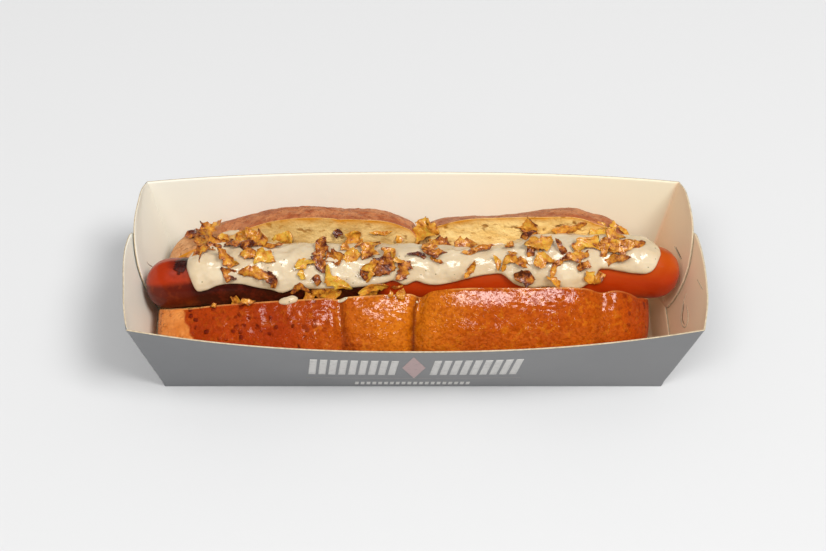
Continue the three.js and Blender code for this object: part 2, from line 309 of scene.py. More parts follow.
# %% [markdown]
# ## Camera
# The photograph looks down on the tray's long side from 48 degrees above the table, at about 70 cm, with
# no turn to the side. The lens was worked out from the tray's corners: 1473 pixels across an 826 pixel
# frame, which is 64 mm on a 36 mm sensor.

# %% Camera
CAMERA_ELEVATION = np.radians(48.0)
CAMERA_DISTANCE = 700.0
CAMERA_TARGET = np.array([0, 12.1, 25.0])
FOCAL_PIXELS = 1473.0
FRAME_PIXELS = (826, 551)
SENSOR = 36.0

view_back = np.array([0, -np.cos(CAMERA_ELEVATION), np.sin(CAMERA_ELEVATION)])
screen_up = np.array([0, np.sin(CAMERA_ELEVATION), np.cos(CAMERA_ELEVATION)])
screen_right = np.array([1.0, 0, 0])
camera_place = CAMERA_TARGET + CAMERA_DISTANCE * view_back

camera_data = bpy.data.cameras.new("camera")
camera_data.sensor_width = SENSOR
camera_data.lens = SENSOR * FOCAL_PIXELS / FRAME_PIXELS[0]
camera = bpy.data.objects.new("camera", camera_data)
bpy.context.scene.collection.objects.link(camera)
camera.location = camera_place * MM
camera.rotation_euler = (np.pi / 2 - CAMERA_ELEVATION, 0, 0)
bpy.context.scene.camera = camera


def pixel_ray(x, y):
    """The direction in which the camera sees a pixel of the 826 by 551 frame."""
    across = (x - FRAME_PIXELS[0] / 2) / FOCAL_PIXELS
    up = (FRAME_PIXELS[1] / 2 - y) / FOCAL_PIXELS
    return unit(-view_back + across * screen_right + up * screen_up)


# %% [markdown]
# ## Tray
# The tray is cut from one sheet of board 0.6 mm thick, printed grey outside and left cream inside. Its
# long walls lean outwards and are bowed by the bread, and each wall's flaps fold round the corner over a
# low panel at each end. A wall with its two flaps is one grid here: columns run from one flap's free edge
# round both folds to the other's, rows from the floor to the rim. Giving that sheet its thickness along
# its normals keeps the folds mitred, as in real board.

# %% Board
BASE_LENGTH = 230.0
BASE_WIDTH = 68.7
WALL_SLANT = 55.3
LEAN_AT_CORNER = np.radians(11.8)
LEAN_AT_MIDDLE = np.radians(22.4)
# How the bow of a long wall is spread: a high power keeps it straight near the middle
BOW_POWER = 2.3
BOARD = 0.6
# How far each folded layer of an end lies outside the one before, and how far the fold itself inside
LAYER_STEP, FOLD = 0.45, 0.3
HALF_LENGTH = BASE_LENGTH / 2
HALF_WIDTH = BASE_WIDTH / 2
TRAY_HEIGHT = WALL_SLANT * np.cos(LEAN_AT_CORNER)
END_FLARE = WALL_SLANT * np.sin(LEAN_AT_CORNER)
END_SLOPE = END_FLARE / TRAY_HEIGHT
END_BULGE = 3.4
# How far the front wall's left end is drawn in at the rim
TUCK = 2.1
CORNER = HALF_WIDTH + END_FLARE


def wall_lean(x):
    """The angle at which a long wall leans out, by place along its foot."""
    return mix(LEAN_AT_MIDDLE, LEAN_AT_CORNER, np.minimum(1, np.abs(x) / HALF_LENGTH) ** BOW_POWER)


def wall_surface(side, share, slant):
    """The inner face of a long wall: share 0 to 1 from end to end, slant in mm up the board. It leans
    out by 22 degrees in the middle and 12 at the folds. The front wall's left end flares a little less."""
    x = (share * 2 - 1) * HALF_LENGTH
    lean = wall_lean(x)
    full = np.where((side < 0) & (share < 0.5), END_FLARE - TUCK, END_FLARE)
    flare = (share * 2 - 1) * full * slant / WALL_SLANT
    return np.stack([x + flare, side * (HALF_WIDTH + slant * np.sin(lean)), slant * np.cos(lean)], -1)


def end_surface(end, y, z, layer=0.0, tuck=0.0, lift=0.0):
    """The inner face of an end at (y, z): a plane leaning out, bellied between its corners. Each layer
    lies outside the one before, tuck draws its front corner in, and lift brings it nearer the food."""
    rise = z / TRAY_HEIGHT
    reach = HALF_WIDTH + END_FLARE * rise
    x = HALF_LENGTH + END_SLOPE * z + END_BULGE * rise * (1 - (y / reach) ** 2)
    x = x + layer * LAYER_STEP - FOLD - tuck * rise * step(-y, -5, 30) - lift
    return np.stack([end * x, y, z], -1)


# %% Flaps
BACK_RIM = [(38, 56.6), (27, 56.6), (17, 55), (7, 50), (0, 43.5), (-3.6, 35), (-4, 26), (-2.5, 18)]
FRONT_RIM = [
    (-37, 56.2), (-22, 56.6), (-6, 56.2), (5, 55.2), (13.5, 53), (17, 46), (16, 38), (12, 27), (6, 18),
]
FLAPS = {1: dict(layer=1, rim=BACK_RIM), -1: dict(layer=2, rim=FRONT_RIM)}
# How far the back wall's flap stands off the front wall's along its free edge, at each end
STAND_OFF = {-1: 1.0, 1: 0.5}
# The shares of a flap's width where it has settled on its layer and where it starts to stand off, and
# the share of its height where it starts to join the rim
SETTLED_AT, LIFTS_FROM, JOINS_RIM_FROM = 0.12, 0.6, 0.85


def flap_boundary(side, rows):
    """A flap's free edge as rows of (y, z), from the floor's corner round to the rim's corner."""
    rim = [(side * CORNER, TRAY_HEIGHT)] + FLAPS[side]["rim"]
    rim = np.array(rim[::-1], float)
    run = np.concatenate([[0], np.cumsum(np.linalg.norm(np.diff(rim, axis=0), axis=1))])
    start = np.array([side * HALF_WIDTH, 0.0])
    straight = np.linalg.norm(rim[0] - start)
    along = rows * (straight + run[-1])
    smooth = np.stack([through(np.stack([run, rim[:, k]], 1))(along - straight) for k in (0, 1)], -1)
    lead = start + (rim[0] - start) * np.clip(along / straight, 0, 1)[:, None]
    return np.where(along[:, None] < straight, lead, smooth)


def flap_surface(side, end, share, rows):
    """share 0 at the fold to 1 at the free edge, by straight lines between the two."""
    fold = wall_surface(side, (end + 1) / 2, rows * WALL_SLANT)[:, 1:]
    edge = flap_boundary(side, rows)
    flat = mix(fold[:, None], edge[:, None], share[None, :, None])
    y, z = flat[..., 0], flat[..., 1]
    clear = step(rows, 1, JOINS_RIM_FROM)[:, None]
    settled = step(share, 0, SETTLED_AT)[None, :] * clear
    layer = FLAPS[side]["layer"] * settled + FOLD / LAYER_STEP * (1 - settled)
    tuck = TUCK if (side, end) == (-1, -1) else 0
    lift = STAND_OFF[end] * step(share, LIFTS_FROM, 1)[None, :] * clear if side > 0 else 0
    return end_surface(end, y, z, layer, tuck, lift)


# %% Sheets
# A point over the tray's floor in mm, from which every sheet's outer face looks away
OVER_TRAY = np.array([0, 0, 60.0])


def sheet(inner, thickness):
    """A closed board from the grid of its inner face: the outer face lies a thickness away along the
    normals. Returns points, faces and each face's kind: 0 inner, 1 outer, 2 cut edge."""
    rows, columns = inner.shape[:2]
    normal = grid_normals(inner)
    weak = np.linalg.norm(inner[-1] - np.roll(inner[-1], 1, axis=0), axis=-1) < 1e-3
    normal[-3:, weak] = normal[-4, weak]
    if np.sum(normal * (OVER_TRAY - inner)) > 0:
        normal = -normal
    outer = inner + normal * thickness
    outer[..., 2] = np.maximum(outer[..., 2], 0)
    faces = grid_faces(rows, columns)
    count = rows * columns
    across, down = np.arange(columns), np.arange(rows) * columns
    last = (rows - 1) * columns
    border = np.concatenate([across[:-1], down[:-1] + columns - 1, last + across[:0:-1], down[:0:-1]])
    after = np.roll(border, -1)
    edge = np.stack([after, border, border + count, after + count], -1)
    points = np.concatenate([inner.reshape(-1, 3), outer.reshape(-1, 3)])
    every = np.concatenate([faces, faces[:, ::-1] + count, edge])
    kinds = np.repeat([0, 1, 2], [len(faces), len(faces), len(edge)])
    return points, every, kinds


# %% [markdown]
# The printed face is clay-coated board under a satin varnish: a flat even grey that takes a broad soft
# shine. The inside is bare, so it is matt, faintly mottled by its fibres, and yellowish cream. Towards the
# right end, bounce light from the food is painted on as a warmer tint, with painted light low in the
# corner.
# The cut edge shows the bare core, a little lighter.

# %% Board finishes
def board_inside():
    """Uncoated cream cartonboard: matt, a little cloudy, with bounce light painted on as a warmer tint
    towards the right end, and painted light low in that end's corner.
    """
    f = Finish("cream_cartonboard", Roughness=0.72, IOR=1.5)
    cool = f.blend(f.ramp(f.grain(26, 4), 0.3, 0.7), "#E9E4D4", "#ECE9DB")
    # Painted light: the warmer tints are bounce light from the food, and the palest colour is light painted
    # low in the right end's corner
    plain = f.blend(f.mark("painted_warm_bounce"), cool, "#F0E8CC")
    painted_corner_bounce = f.blend(f.mark("painted_corner_bounce"), plain, "#F8DEBA")
    f.link("Base Color", f.blend(f.mark("painted_light_low_corner"), painted_corner_bounce, "#FFDAB0"))
    f.relief([(f.grain(0.5, 2), 0.02), (f.grain(14, 2), 0.25)])
    return f.material


def board_print():
    """Grey printing ink under satin dispersion varnish, a little uneven where the board undulates."""
    f = Finish("varnished_grey_print", Roughness=0.42, IOR=1.5)
    f.link("Base Color", f.blend(f.ramp(f.grain(40, 3), 0.3, 0.7), "#727375", "#7A7A7B"))
    f.relief([(f.grain(0.6, 2), 0.01), (f.grain(18, 2), 0.3)])
    return f.material


def board_edge():
    """The cut through the board's bare core, slightly fuzzy."""
    f = Finish("cut_board_edge", Roughness=0.85, IOR=1.5)
    f.link("Base Color", f.blend(f.ramp(f.grain(0.8, 3), 0.35, 0.7), "#D2C1A2", "#BBA888"))
    return f.material


BOARD_FINISHES = [board_inside(), board_print(), board_edge()]

# %% Walls with their flaps
FLAP_COLUMNS = 26
WALL_COLUMNS = 110
WALL_ROWS = 46


def painted_bounce_tints(points):
    """Painted light: a warmer tint of bounce light towards the right end and its corner, and painted light
    low down in that corner, which lies in shade.
    """
    x, _, z = points.T
    # Painted light near the right end's corner: a warmer tint of bounce light, and a paler colour low down
    at_end = step(x - 0.2 * z, 113.5, 115.5)
    return {"painted_warm_bounce": step(x, -90, 110), "painted_corner_bounce": at_end, "painted_light_low_corner": at_end * step(z, 44, 16)}


def make_board(name, inner):
    """The piece of board whose inner face is that grid."""
    points, faces, kinds = sheet(inner, BOARD)
    make_piece(name, points, faces, BOARD_FINISHES, "tray", kinds, painted_bounce_tints(points))


def make_wall(side, name):
    """One long wall and its two end flaps, as one sheet from free edge to free edge."""
    rows = np.linspace(0, 1, WALL_ROWS)
    shares = np.concatenate([[0.008], np.linspace(0.03, 1, FLAP_COLUMNS)])
    # Two more columns close to each fold keep it sharp
    places = np.concatenate([[0, 0.0015], np.linspace(0.006, 0.994, WALL_COLUMNS), [0.9985, 1]])
    left = flap_surface(side, -1, shares, rows)[:, ::-1]
    right = flap_surface(side, 1, shares, rows)
    wall = wall_surface(side, places[None, :], rows[:, None] * WALL_SLANT)
    make_board(name, np.concatenate([left, wall, right], axis=1))


make_wall(1, "tray_back_wall")
make_wall(-1, "tray_front_wall")

# %% Floor and end panels
PANEL_HEIGHT = 16.5
PANEL_CHAMFER = 9.0
CHAMFER_FROM = 7.0
PANEL_INSET, FLOOR_INSET, FLOOR_SIDE = 0.8, 0.4, 0.1


def make_floor():
    """The floor and the low panel folded up from each of its ends, with chamfered corners."""
    across = np.linspace(-1, 1, 30)[:, None]
    height = np.linspace(PANEL_HEIGHT, 0.5, 12)[None, :]
    narrow = PANEL_CHAMFER * np.clip((height - CHAMFER_FROM) / (PANEL_HEIGHT - CHAMFER_FROM), 0, 1)
    y = across * (HALF_WIDTH - PANEL_INSET - narrow)
    z = np.broadcast_to(height, y.shape) + BOARD
    left = end_surface(-1, y, z)
    right = end_surface(1, y, z)[:, ::-1]
    x = np.linspace(-HALF_LENGTH + FLOOR_INSET, HALF_LENGTH - FLOOR_INSET, 60)[None, :]
    y = across * (HALF_WIDTH - FLOOR_SIDE)
    flat = together(x, y, BOARD)
    make_board("tray_floor", np.concatenate([left, flat, right], axis=1))


make_floor()

# %% [markdown]
# The print on the front wall is laid on as thin films of ink, a twentieth of a millimetre proud: two
# groups of slanted bars, a plain lozenge between them, a thin rule and a row of short dashes. The lock
# slits of the end flaps show as thin lines where the cut board catches the light, so they are fine
# beads along the cut, placed by the pixels where they show. The dark beads beside some are painted
# shadow, the shade inside the slits.

# %% Print
INKS = [("pale_grey_ink", "#D3D0CC"), ("rose_ink", "#B79A98"), ("rule_ink", "#8F8A88")]
INK_PROUD, INK_THICK = 0.06, 0.12
WORN_SHARE = 0.86
# Rows of bars: first and last left edge, pitch, width, lower and upper edge, slant, all in mm, and ink
BARS = [(-47.5, -8.5, 4.5, 3.2, 20, 42.5, 2.2, 0), (7.5, 47.0, 4.5, 3.2, 20, 42.5, 2.2, 0),
        (-49, 0, 98, 98, 14, 14.9, 0, 2), (-27, 27, 2.7, 1.7, 4.2, 8.2, 0.3, 0)]
# Middle, lower and upper tip and width in mm, and ink
LOZENGE = (0.4, 15, 48, 10.5, 1)


def ink(name, code):
    """Opaque offset ink under the same satin varnish as the board."""
    f = Finish(name, Roughness=0.42, IOR=1.5)
    wear = f.ramp(f.grain(1.2, 3), 0.3, 0.5)
    fresh = linear(code)
    worn = tuple(WORN_SHARE * c for c in fresh[:3]) + (1.0,)
    f.link("Base Color", f.blend(wear, worn, fresh))
    return f.material


def on_front_wall(x, slant):
    """Points on the printed face of the front wall, by place along it and height up the board."""
    full = np.where(x < 0, END_FLARE - TUCK, END_FLARE)
    share = 0.5 + x / (HALF_LENGTH + full * slant / WALL_SLANT) / 2
    inner = wall_surface(-1, share, slant)
    lean = wall_lean((share * 2 - 1) * HALF_LENGTH)
    outward = np.stack([0 * lean, -np.cos(lean), -np.sin(lean)], -1)
    return inner + outward * (BOARD - INK_PROUD)


def bar(left, width, low, high, slope):
    """A slanted bar: its top is shifted by slope."""
    a = np.linspace(0, 1, 5)[:, None]
    b = np.linspace(0, 1, 9)[None, :]
    return on_front_wall(left + width * a + slope * b, low + (high - low) * b + 0 * a)


def lozenge(middle, low, high, width):
    a = np.linspace(-1, 1, 13)[:, None]
    b = np.linspace(-1, 1, 25)[None, :]
    x = middle + a * (1 - np.abs(b) * 0.97) * width / 2
    return on_front_wall(x, mix(low, high, (b + 1) / 2) + 0 * a)


def make_print():
    shapes = [(lozenge(*LOZENGE[:4]), LOZENGE[4])]
    for start, stop, pitch, width, low, high, slant, kind in BARS:
        shapes += [(bar(left, width, low, high, slant), kind) for left in np.arange(start, stop, pitch)]
    points, faces, kinds = joined([(*sheet(grid, INK_THICK)[:2], kind) for grid, kind in shapes])
    make_piece("tray_print", points, faces, [ink(*one) for one in INKS], "tray", kinds)


make_print()

# %% Slits
# Distances from the camera in mm, between which the tray's ends lie
NEAR_RAY, FAR_RAY = 600.0, 800.0
SECANT_STEPS = 12
# Each: end, layer it lies on, bead radius in mm, kind (0 lit cut edge, 1 painted shadow), pixels along it
SLITS = [
    (1, 2, 0.3, 0, [(687, 292), (684.5, 299), (682.5, 309), (681.3, 318), (682.4, 325), (685, 327.5),
                    (687.5, 323), (688.3, 315), (687, 308), (685.5, 304)]),
    (1, 2, 0.25, 1, [(684, 303), (683.2, 311), (682.6, 319), (684.6, 325)]),
    (1, 1, 0.28, 0, [(674.3, 246), (678, 253), (682, 262)]),
    (1, 1, 0.22, 1, [(675.6, 246.5), (679.3, 254), (682.8, 261)]),
    (1, 2, 0.25, 0, [(697, 279), (703, 290)]),
    (-1, 1, 0.22, 1, [(145.5, 260), (148.5, 264.5), (153, 267)]),
    (-1, 2, 0.22, 1, [(139, 327.5), (142, 326.6), (145, 327.4)]),
]


def on_end(end, x, y, layer):
    """The point of an end's inner face seen at a pixel, by a few secant steps along the camera's ray."""
    ray = pixel_ray(x, y)

    def off(t):
        at = camera_place + t * ray
        return end * (at - end_surface(end, at[1], at[2], layer))[0]

    before, now = NEAR_RAY, FAR_RAY
    for _ in range(SECANT_STEPS):
        rise = off(now) - off(before)
        if abs(rise) < 1e-12:
            break
        before, now = now, now - off(now) * (now - before) / rise
    return camera_place + now * ray


def bead(path, radius):
    """A thin tube along a smooth curve through the points, drawn out to a point at both ends."""
    run = np.arange(len(path), dtype=float)
    fine = np.linspace(0, run[-1], 8 * len(path))
    line = np.stack([through(np.stack([run, path[:, k]], 1))(fine) for k in range(3)], -1)
    ahead = unit(np.gradient(line, axis=0))
    side = unit(np.cross(ahead, [1.0, 0, 0]))
    over = np.cross(side, ahead)
    angle = round_angles(8)[None, :, None]
    thin = (1 - np.abs(np.linspace(-1, 1, len(fine))) ** 6)[:, None, None] * radius
    return line[:, None] + thin * (np.cos(angle) * side[:, None] + np.sin(angle) * over[:, None])


def make_slits():
    parts = []
    for end, layer, radius, kind, pixels in SLITS:
        tube = bead(np.array([on_end(end, x, y, layer) for x, y in pixels]), radius)
        parts.append((tube.reshape(-1, 3), grid_faces(*tube.shape[:2], wrap=True), kind))
    points, faces, kinds = joined(parts)
    # The dark beads are painted shadow, the shade inside the slits
    shade = Finish("painted_slit_shadow", Roughness=0.9, IOR=1.4, Base_Color=linear("#6B4A30")).material
    make_piece("tray_slits", points, faces, [BOARD_FINISHES[2], shade], "tray", kinds)


make_slits()

# %% [markdown]
# ## Sausage
# A smoked sausage in a thin taut skin. Its ends are tied off round, and the skin puckers a little there.
# On its left half the lower front side lay on the grill and is nearly black, and away from the tip it is
# painted darker still as painted shade. The rest is a bright orange red. That dark side is an attribute
# worked out on the mesh, which follows the sausage round.

# %% Sausage surface
SAUSAGE_RADIUS = 12.4
SAUSAGE_HALF_LENGTH = 123.0
SAUSAGE_CAP = 13.0
SAUSAGE_STATIONS, SAUSAGE_SIDES = 230, 96
# Depths in mm of the dents, of the puckers near the ends and of the relief as a whole below the casing
DENT, PUCKER, SUNK = 0.28, 0.22, 0.25


def sausage_line(x):
    """Sideways place and height of the sausage's middle line at x."""
    t = x / SAUSAGE_HALF_LENGTH
    return -1.7 + 2.6 * t, 39.5 + 1.6 * t - 0.8 * t * t


def sausage_radius(x):
    into = np.clip((np.abs(x) - SAUSAGE_HALF_LENGTH + SAUSAGE_CAP) / SAUSAGE_CAP, 0, 1)
    return SAUSAGE_RADIUS * np.sqrt(1 - into**2.3)


def around_sausage(x, degrees, radius):
    """A point at that angle from straight up, positive towards the back, and that far from the middle."""
    y, z = sausage_line(x)
    angle = np.radians(degrees)
    return together(x, y + radius * np.sin(angle), z + radius * np.cos(angle))


def make_sausage():
    """A radius that closes in rounded ends, swept along the middle line, with soft dents and puckers."""
    t = np.linspace(-1, 1, SAUSAGE_STATIONS)
    x = (SAUSAGE_HALF_LENGTH - 0.05) * np.sign(t) * (1 - (1 - np.abs(t)) ** 1.9)
    degrees = np.linspace(-180, 180, SAUSAGE_SIDES, endpoint=False)
    x, degrees = np.meshgrid(x, degrees, indexing="ij")
    radius = sausage_radius(x)
    place = around_sausage(x, degrees, radius)
    end = step(np.abs(x), SAUSAGE_HALF_LENGTH - 18, SAUSAGE_HALF_LENGTH)
    dents = DENT * rough(place * [0.35, 1, 1], 9, 3, 2) - 0.15
    pucker = PUCKER * end * np.sin(np.radians(degrees) * 9 + 2 * noise(place, 8, 5))
    squareness = 0.02 * SAUSAGE_RADIUS * step(x, -80, -116) * np.cos(np.radians(4 * (degrees + 2)))
    radius = radius * (1 + (dents + pucker + squareness - SUNK) / SAUSAGE_RADIUS)
    place = around_sausage(x, degrees, radius)
    wobble = 7 * rough(place, 16, 9, 2)
    # The lower front side of the left half: grill browning, with painted shade away from the tip
    under = step(degrees + wobble, -36, -52) * step(degrees, -178, -150)
    browned_and_shade = under * step(x + wobble * 0.6, -9, -17)
    patch = bell(x + 105.3 + wobble * 0.15, 3.4) * bell(degrees - 9, 28)
    marks = {
        "browned_and_shade": np.clip(browned_and_shade + 1.1 * patch, 0, 1), "low": step(degrees, -20, -75),
        "tip": step(x + 0.7 * wobble, -98, -108), "wrinkled": patch,
    }
    return make_piece(
        "smoked_sausage", place, None, [sausage_skin()], "sausage", None, marks
    )


def sausage_skin():
    """Smoked collagen casing: a thin wet-looking skin, orange red, with meat showing faintly through."""
    f = Finish(
        "smoked_sausage_casing", Roughness=0.45, IOR=1.45, Specular_IOR_Level=0.2, Coat_Weight=0.45,
        Coat_Roughness=0.12, Subsurface_Weight=0.05, Subsurface_Scale=0.003,
        Subsurface_Radius=(1.0, 0.25, 0.08),
    )
    tip = f.mark("tip")
    cloud = f.ramp(f.grain(16, 4), 0.35, 0.65)
    bright = f.blend(tip, f.blend(cloud, "#AD3D00", "#B84B00"), "#A02A00")
    smoke = f.times(f.ramp(f.grain(5, 4, 0.65), 0.42, 0.62), tip)
    bright = f.blend(f.mark("low"), f.blend(smoke, bright, "#7E1C02"), "#A62E02")
    mottle = f.ramp(f.grain(3, 4, 0.7), 0.45, 0.75)
    # Nearly black: browning, painted darker away from the tip as painted shade
    browned_and_shade = f.blend(tip, f.blend(mottle, "#380A03", "#641A08"), f.blend(mottle, "#581402", "#7A2A04"))
    colour = f.blend(f.mark("browned_and_shade"), bright, browned_and_shade)
    shrunk = f.ramp(f.plus(f.mark("wrinkled"), f.ragged(2.2, 3, 0.6, 1.6)), 0.36, 0.6)
    colour = f.blend(shrunk, colour, f.blend(mottle, "#2A0806", "#66200E"))
    f.link("Base Color", colour)
    wrinkles = f.times(f.grain(1.6, 2, 0.5, 1.5), shrunk)
    f.relief([(f.grain(1.2, 3, 0.6), 0.07), (f.grain(5, 2), 0.3), (wrinkles, 1.2)])
    return f.material


sausage = make_sausage()

# %% [markdown]
# ## Bun
# A glazed brioche-type bun, baked in touching lobes and cut open from above. Its cross-section is one
# closed line: out from the front edge of the cut over the crust, round under the bun and up to the back
# edge, then down the crumb of the back face, across the floor of the cut and up the front face. That line
# is worked out at many stations along the bun and closed at both ends, so crust and crumb are one mesh
# with two materials that meet in a crisp line, as on the real thing.

# %% Bun measures
LOAF_LEFT, LOAF_RIGHT = -117.0, 108.0
# The height where the bun is widest
LOAF_WAIST = 29.0
SPLIT_FRONT, SPLIT_BACK, SPLIT_FLOOR = -23.0, 20.0, 27.0
CUT_HALF_WIDTH = 6
END_POWER, LOWER_POWER = 5.5, 2.6
FRONT_WIDTH, BACK_WIDTH, FRONT_POWER = 45.0, 41.0, 2.4
LOAF_BOTTOM = 1.0
WALL_GAP = 0.7
# A crease as deep as this, in mm, would reach the waist
CREASE_HEIGHT = 30

front_edge = through(
    [(-117, 39), (-96, 43), (-69, 46.3), (-30, 49.8), (-4, 52.5), (12, 55), (48, 55.8), (80, 55.4),
     (101, 49.6), (108, 40)]
)
back_edge = through(
    [(-117, 31), (-100, 39.5), (-81, 47.8), (-66, 53.9), (-52, 56.1), (-25, 55), (3, 54.4), (27, 55.5),
     (59, 57), (78, 57.2), (90, 53.4), (98, 48.4), (108, 39)]
)
# How full the crust is behind that edge: a high power carries it further back before it turns down
back_power = through(
    [(-117, 2.3), (-92, 2.5), (-60, 2.75), (-20, 2.6), (3, 2.2), (16, 1.75), (52, 1.75), (68, 2.4),
     (88, 2.8), (108, 2.5)]
)

# Each crease: place, width, depth in front, depth at the back
CREASES = [(3, 12, 1.4, 6.5), (3.5, 3, 3.6, 5), (-34, 3, 2.2, 0.6), (84, 4, 2.4, 1), (-99, 4, 0.8, 1)]


def crease_depth(x, frontness):
    return sum(bell(x - at, width) * mix(back, front, frontness) for at, width, front, back in CREASES)


def crease_shift(x, forward):
    """How far a crease strays along the bun as it runs down the front: each has its own slant."""
    down = step(forward, 0.45, 1.0)
    return down * np.where(x < -15, 4.0, -2.7) + 0.8 * np.sin(5 * forward + 0.2 * x)


def crust_outline(a, phi):
    """Crust point at place a along the loaf, -1 to 1, in direction phi in degrees: 0 is the back, 90
    up, 180 the front. Each half is a superellipse with its own width, height and roundness."""
    x = mix(LOAF_LEFT, LOAF_RIGHT, (a + 1) / 2)
    k = (1 - np.abs(a) ** END_POWER) ** (1 / END_POWER)
    across, up = np.cos(np.radians(phi)), np.sin(np.radians(phi))
    front = across < 0
    width, split = np.where(front, FRONT_WIDTH, BACK_WIDTH), np.where(front, SPLIT_FRONT, SPLIT_BACK)
    edge = np.where(front, front_edge(x), back_edge(x))
    upper = np.where(front, FRONT_POWER, back_power(x))
    power = np.where(up > 0, upper, LOWER_POWER)
    size = (np.abs(across) ** power + np.abs(up) ** power) ** (-1 / power)
    share = (1 - np.abs(split / width) ** upper) ** (1 / upper)
    height = np.where(up > 0, (edge - LOAF_WAIST) / share, LOAF_WAIST - LOAF_BOTTOM)
    crease = 1 - crease_depth(x - crease_shift(x, -across), step(-across, -0.35, 0.35)) / CREASE_HEIGHT
    y = k * size * across * width * (0.4 + 0.6 * crease)
    z = LOAF_WAIST + k * size * up * height * np.where(up > 0, crease, 1)
    wall = HALF_WIDTH + z * np.tan(wall_lean(x)) - WALL_GAP
    return together(x, np.clip(y, -wall, wall), z)


# %% Cut


def cut_line(x, back):
    """Floor and top points (y, z) of the cut's face at x, in front or at the back."""
    y, _ = sausage_line(x)
    parts = (back_edge, SPLIT_BACK, 0, 1) if back else (front_edge, SPLIT_FRONT, 1, -1)
    edge, split, frontness, side = parts
    top = LOAF_WAIST + (edge(x) - LOAF_WAIST) * (1 - crease_depth(x, frontness) / CREASE_HEIGHT)
    return together(y + CUT_HALF_WIDTH * side, SPLIT_FLOOR), together(split, top)


def crossing(a, back):
    """The direction phi at which the crust meets the cut's face at each station: the first change of
    side along a fine fan of directions."""
    fan = np.linspace(88, 0, 400) if back else np.linspace(92, 180, 400)
    place = crust_outline(a[:, None], fan[None, :])
    floor, top = cut_line(place[:, 0, 0], back)
    along = top - floor
    off = place[..., 1:] - floor[:, None]
    side = along[:, None, 0] * off[..., 1] - along[:, None, 1] * off[..., 0]
    side = -side if back else side
    i = np.maximum(np.argmax(side > 0, axis=1), 1)
    row = np.arange(len(a))
    before, after = side[row, i - 1], side[row, i]
    return fan[i - 1] + (fan[i] - fan[i - 1]) * before / (before - after)


# %% Bun surface
CRUST_POINTS = 226
BACK_FACE, CUT_FLOOR, FRONT_FACE = 96, 8, 36
STATIONS, CAP_RINGS = 246, 13
# The rounded ends start at this share of the way out, and the crust's points crowd at the cut's edges
CAP_START, CROWDING = 0.8, 0.11
# The free space round the sausage, and the greatest height of relief, in mm
SAUSAGE_GAP, RELIEF_TOP = 0.3, 0.35
# The left end is torn from here, on a line that slants by this much for each mm of width
TORN_FROM, TORN_SLANT = -103.5, 0.316


def bun_rings():
    """Rings of points along the loaf. The last rings at each end are drawn together to a point, along
    the same rounded end as the crust's."""
    reach = (1 - CAP_START**END_POWER) ** (1 / END_POWER)
    a = np.linspace(-reach, reach, STATIONS)
    front, back = crossing(a, False), crossing(a, True)
    s = np.linspace(0, 1, CRUST_POINTS)
    s = s - CROWDING * np.sin(2 * np.pi * s)
    phi = front[:, None] + (back + 360 - front)[:, None] * s[None, :]
    crust = crust_outline(a[:, None], phi)
    x = crust[:, 0, 0]
    corners = [crust[:, -1, 1:], cut_line(x, True)[0], cut_line(x, False)[0], crust[:, 0, 1:]]
    runs = []
    for first, last, count in zip(corners, corners[1:], (BACK_FACE, CUT_FLOOR, FRONT_FACE)):
        share = (np.arange(count) + 1) / (count + 1)
        runs.append(first[:, None] + (last - first)[:, None] * share[None, :, None])
    cut = np.concatenate(runs, axis=1)
    y, z = sausage_line(x)
    centre = np.stack([y, z], -1)[:, None]
    off = cut - centre
    gap = np.linalg.norm(off, axis=-1, keepdims=True)
    cut = centre + off * np.maximum(1, (SAUSAGE_RADIUS + SAUSAGE_GAP) / gap)
    cut = together(x[:, None], cut[..., 0], cut[..., 1])
    body = np.concatenate([crust, cut], axis=1)
    q = np.linspace(1, 0, CAP_RINGS)[1:]
    where = (1 - (CAP_START * q) ** END_POWER) ** (1 / END_POWER)
    ends = []
    for sign, ring in ((-1, body[0]), (1, body[-1])):
        heart = np.array([0, sausage_line(ring[0, 0])[0], 20.0])
        cap = heart + (ring - heart) * q[:, None, None]
        cap[..., 0] = mix(LOAF_LEFT, LOAF_RIGHT, (sign * where + 1) / 2)[:, None]
        ends.append(cap)
    return np.concatenate([ends[0][::-1], body, ends[1]], axis=0)


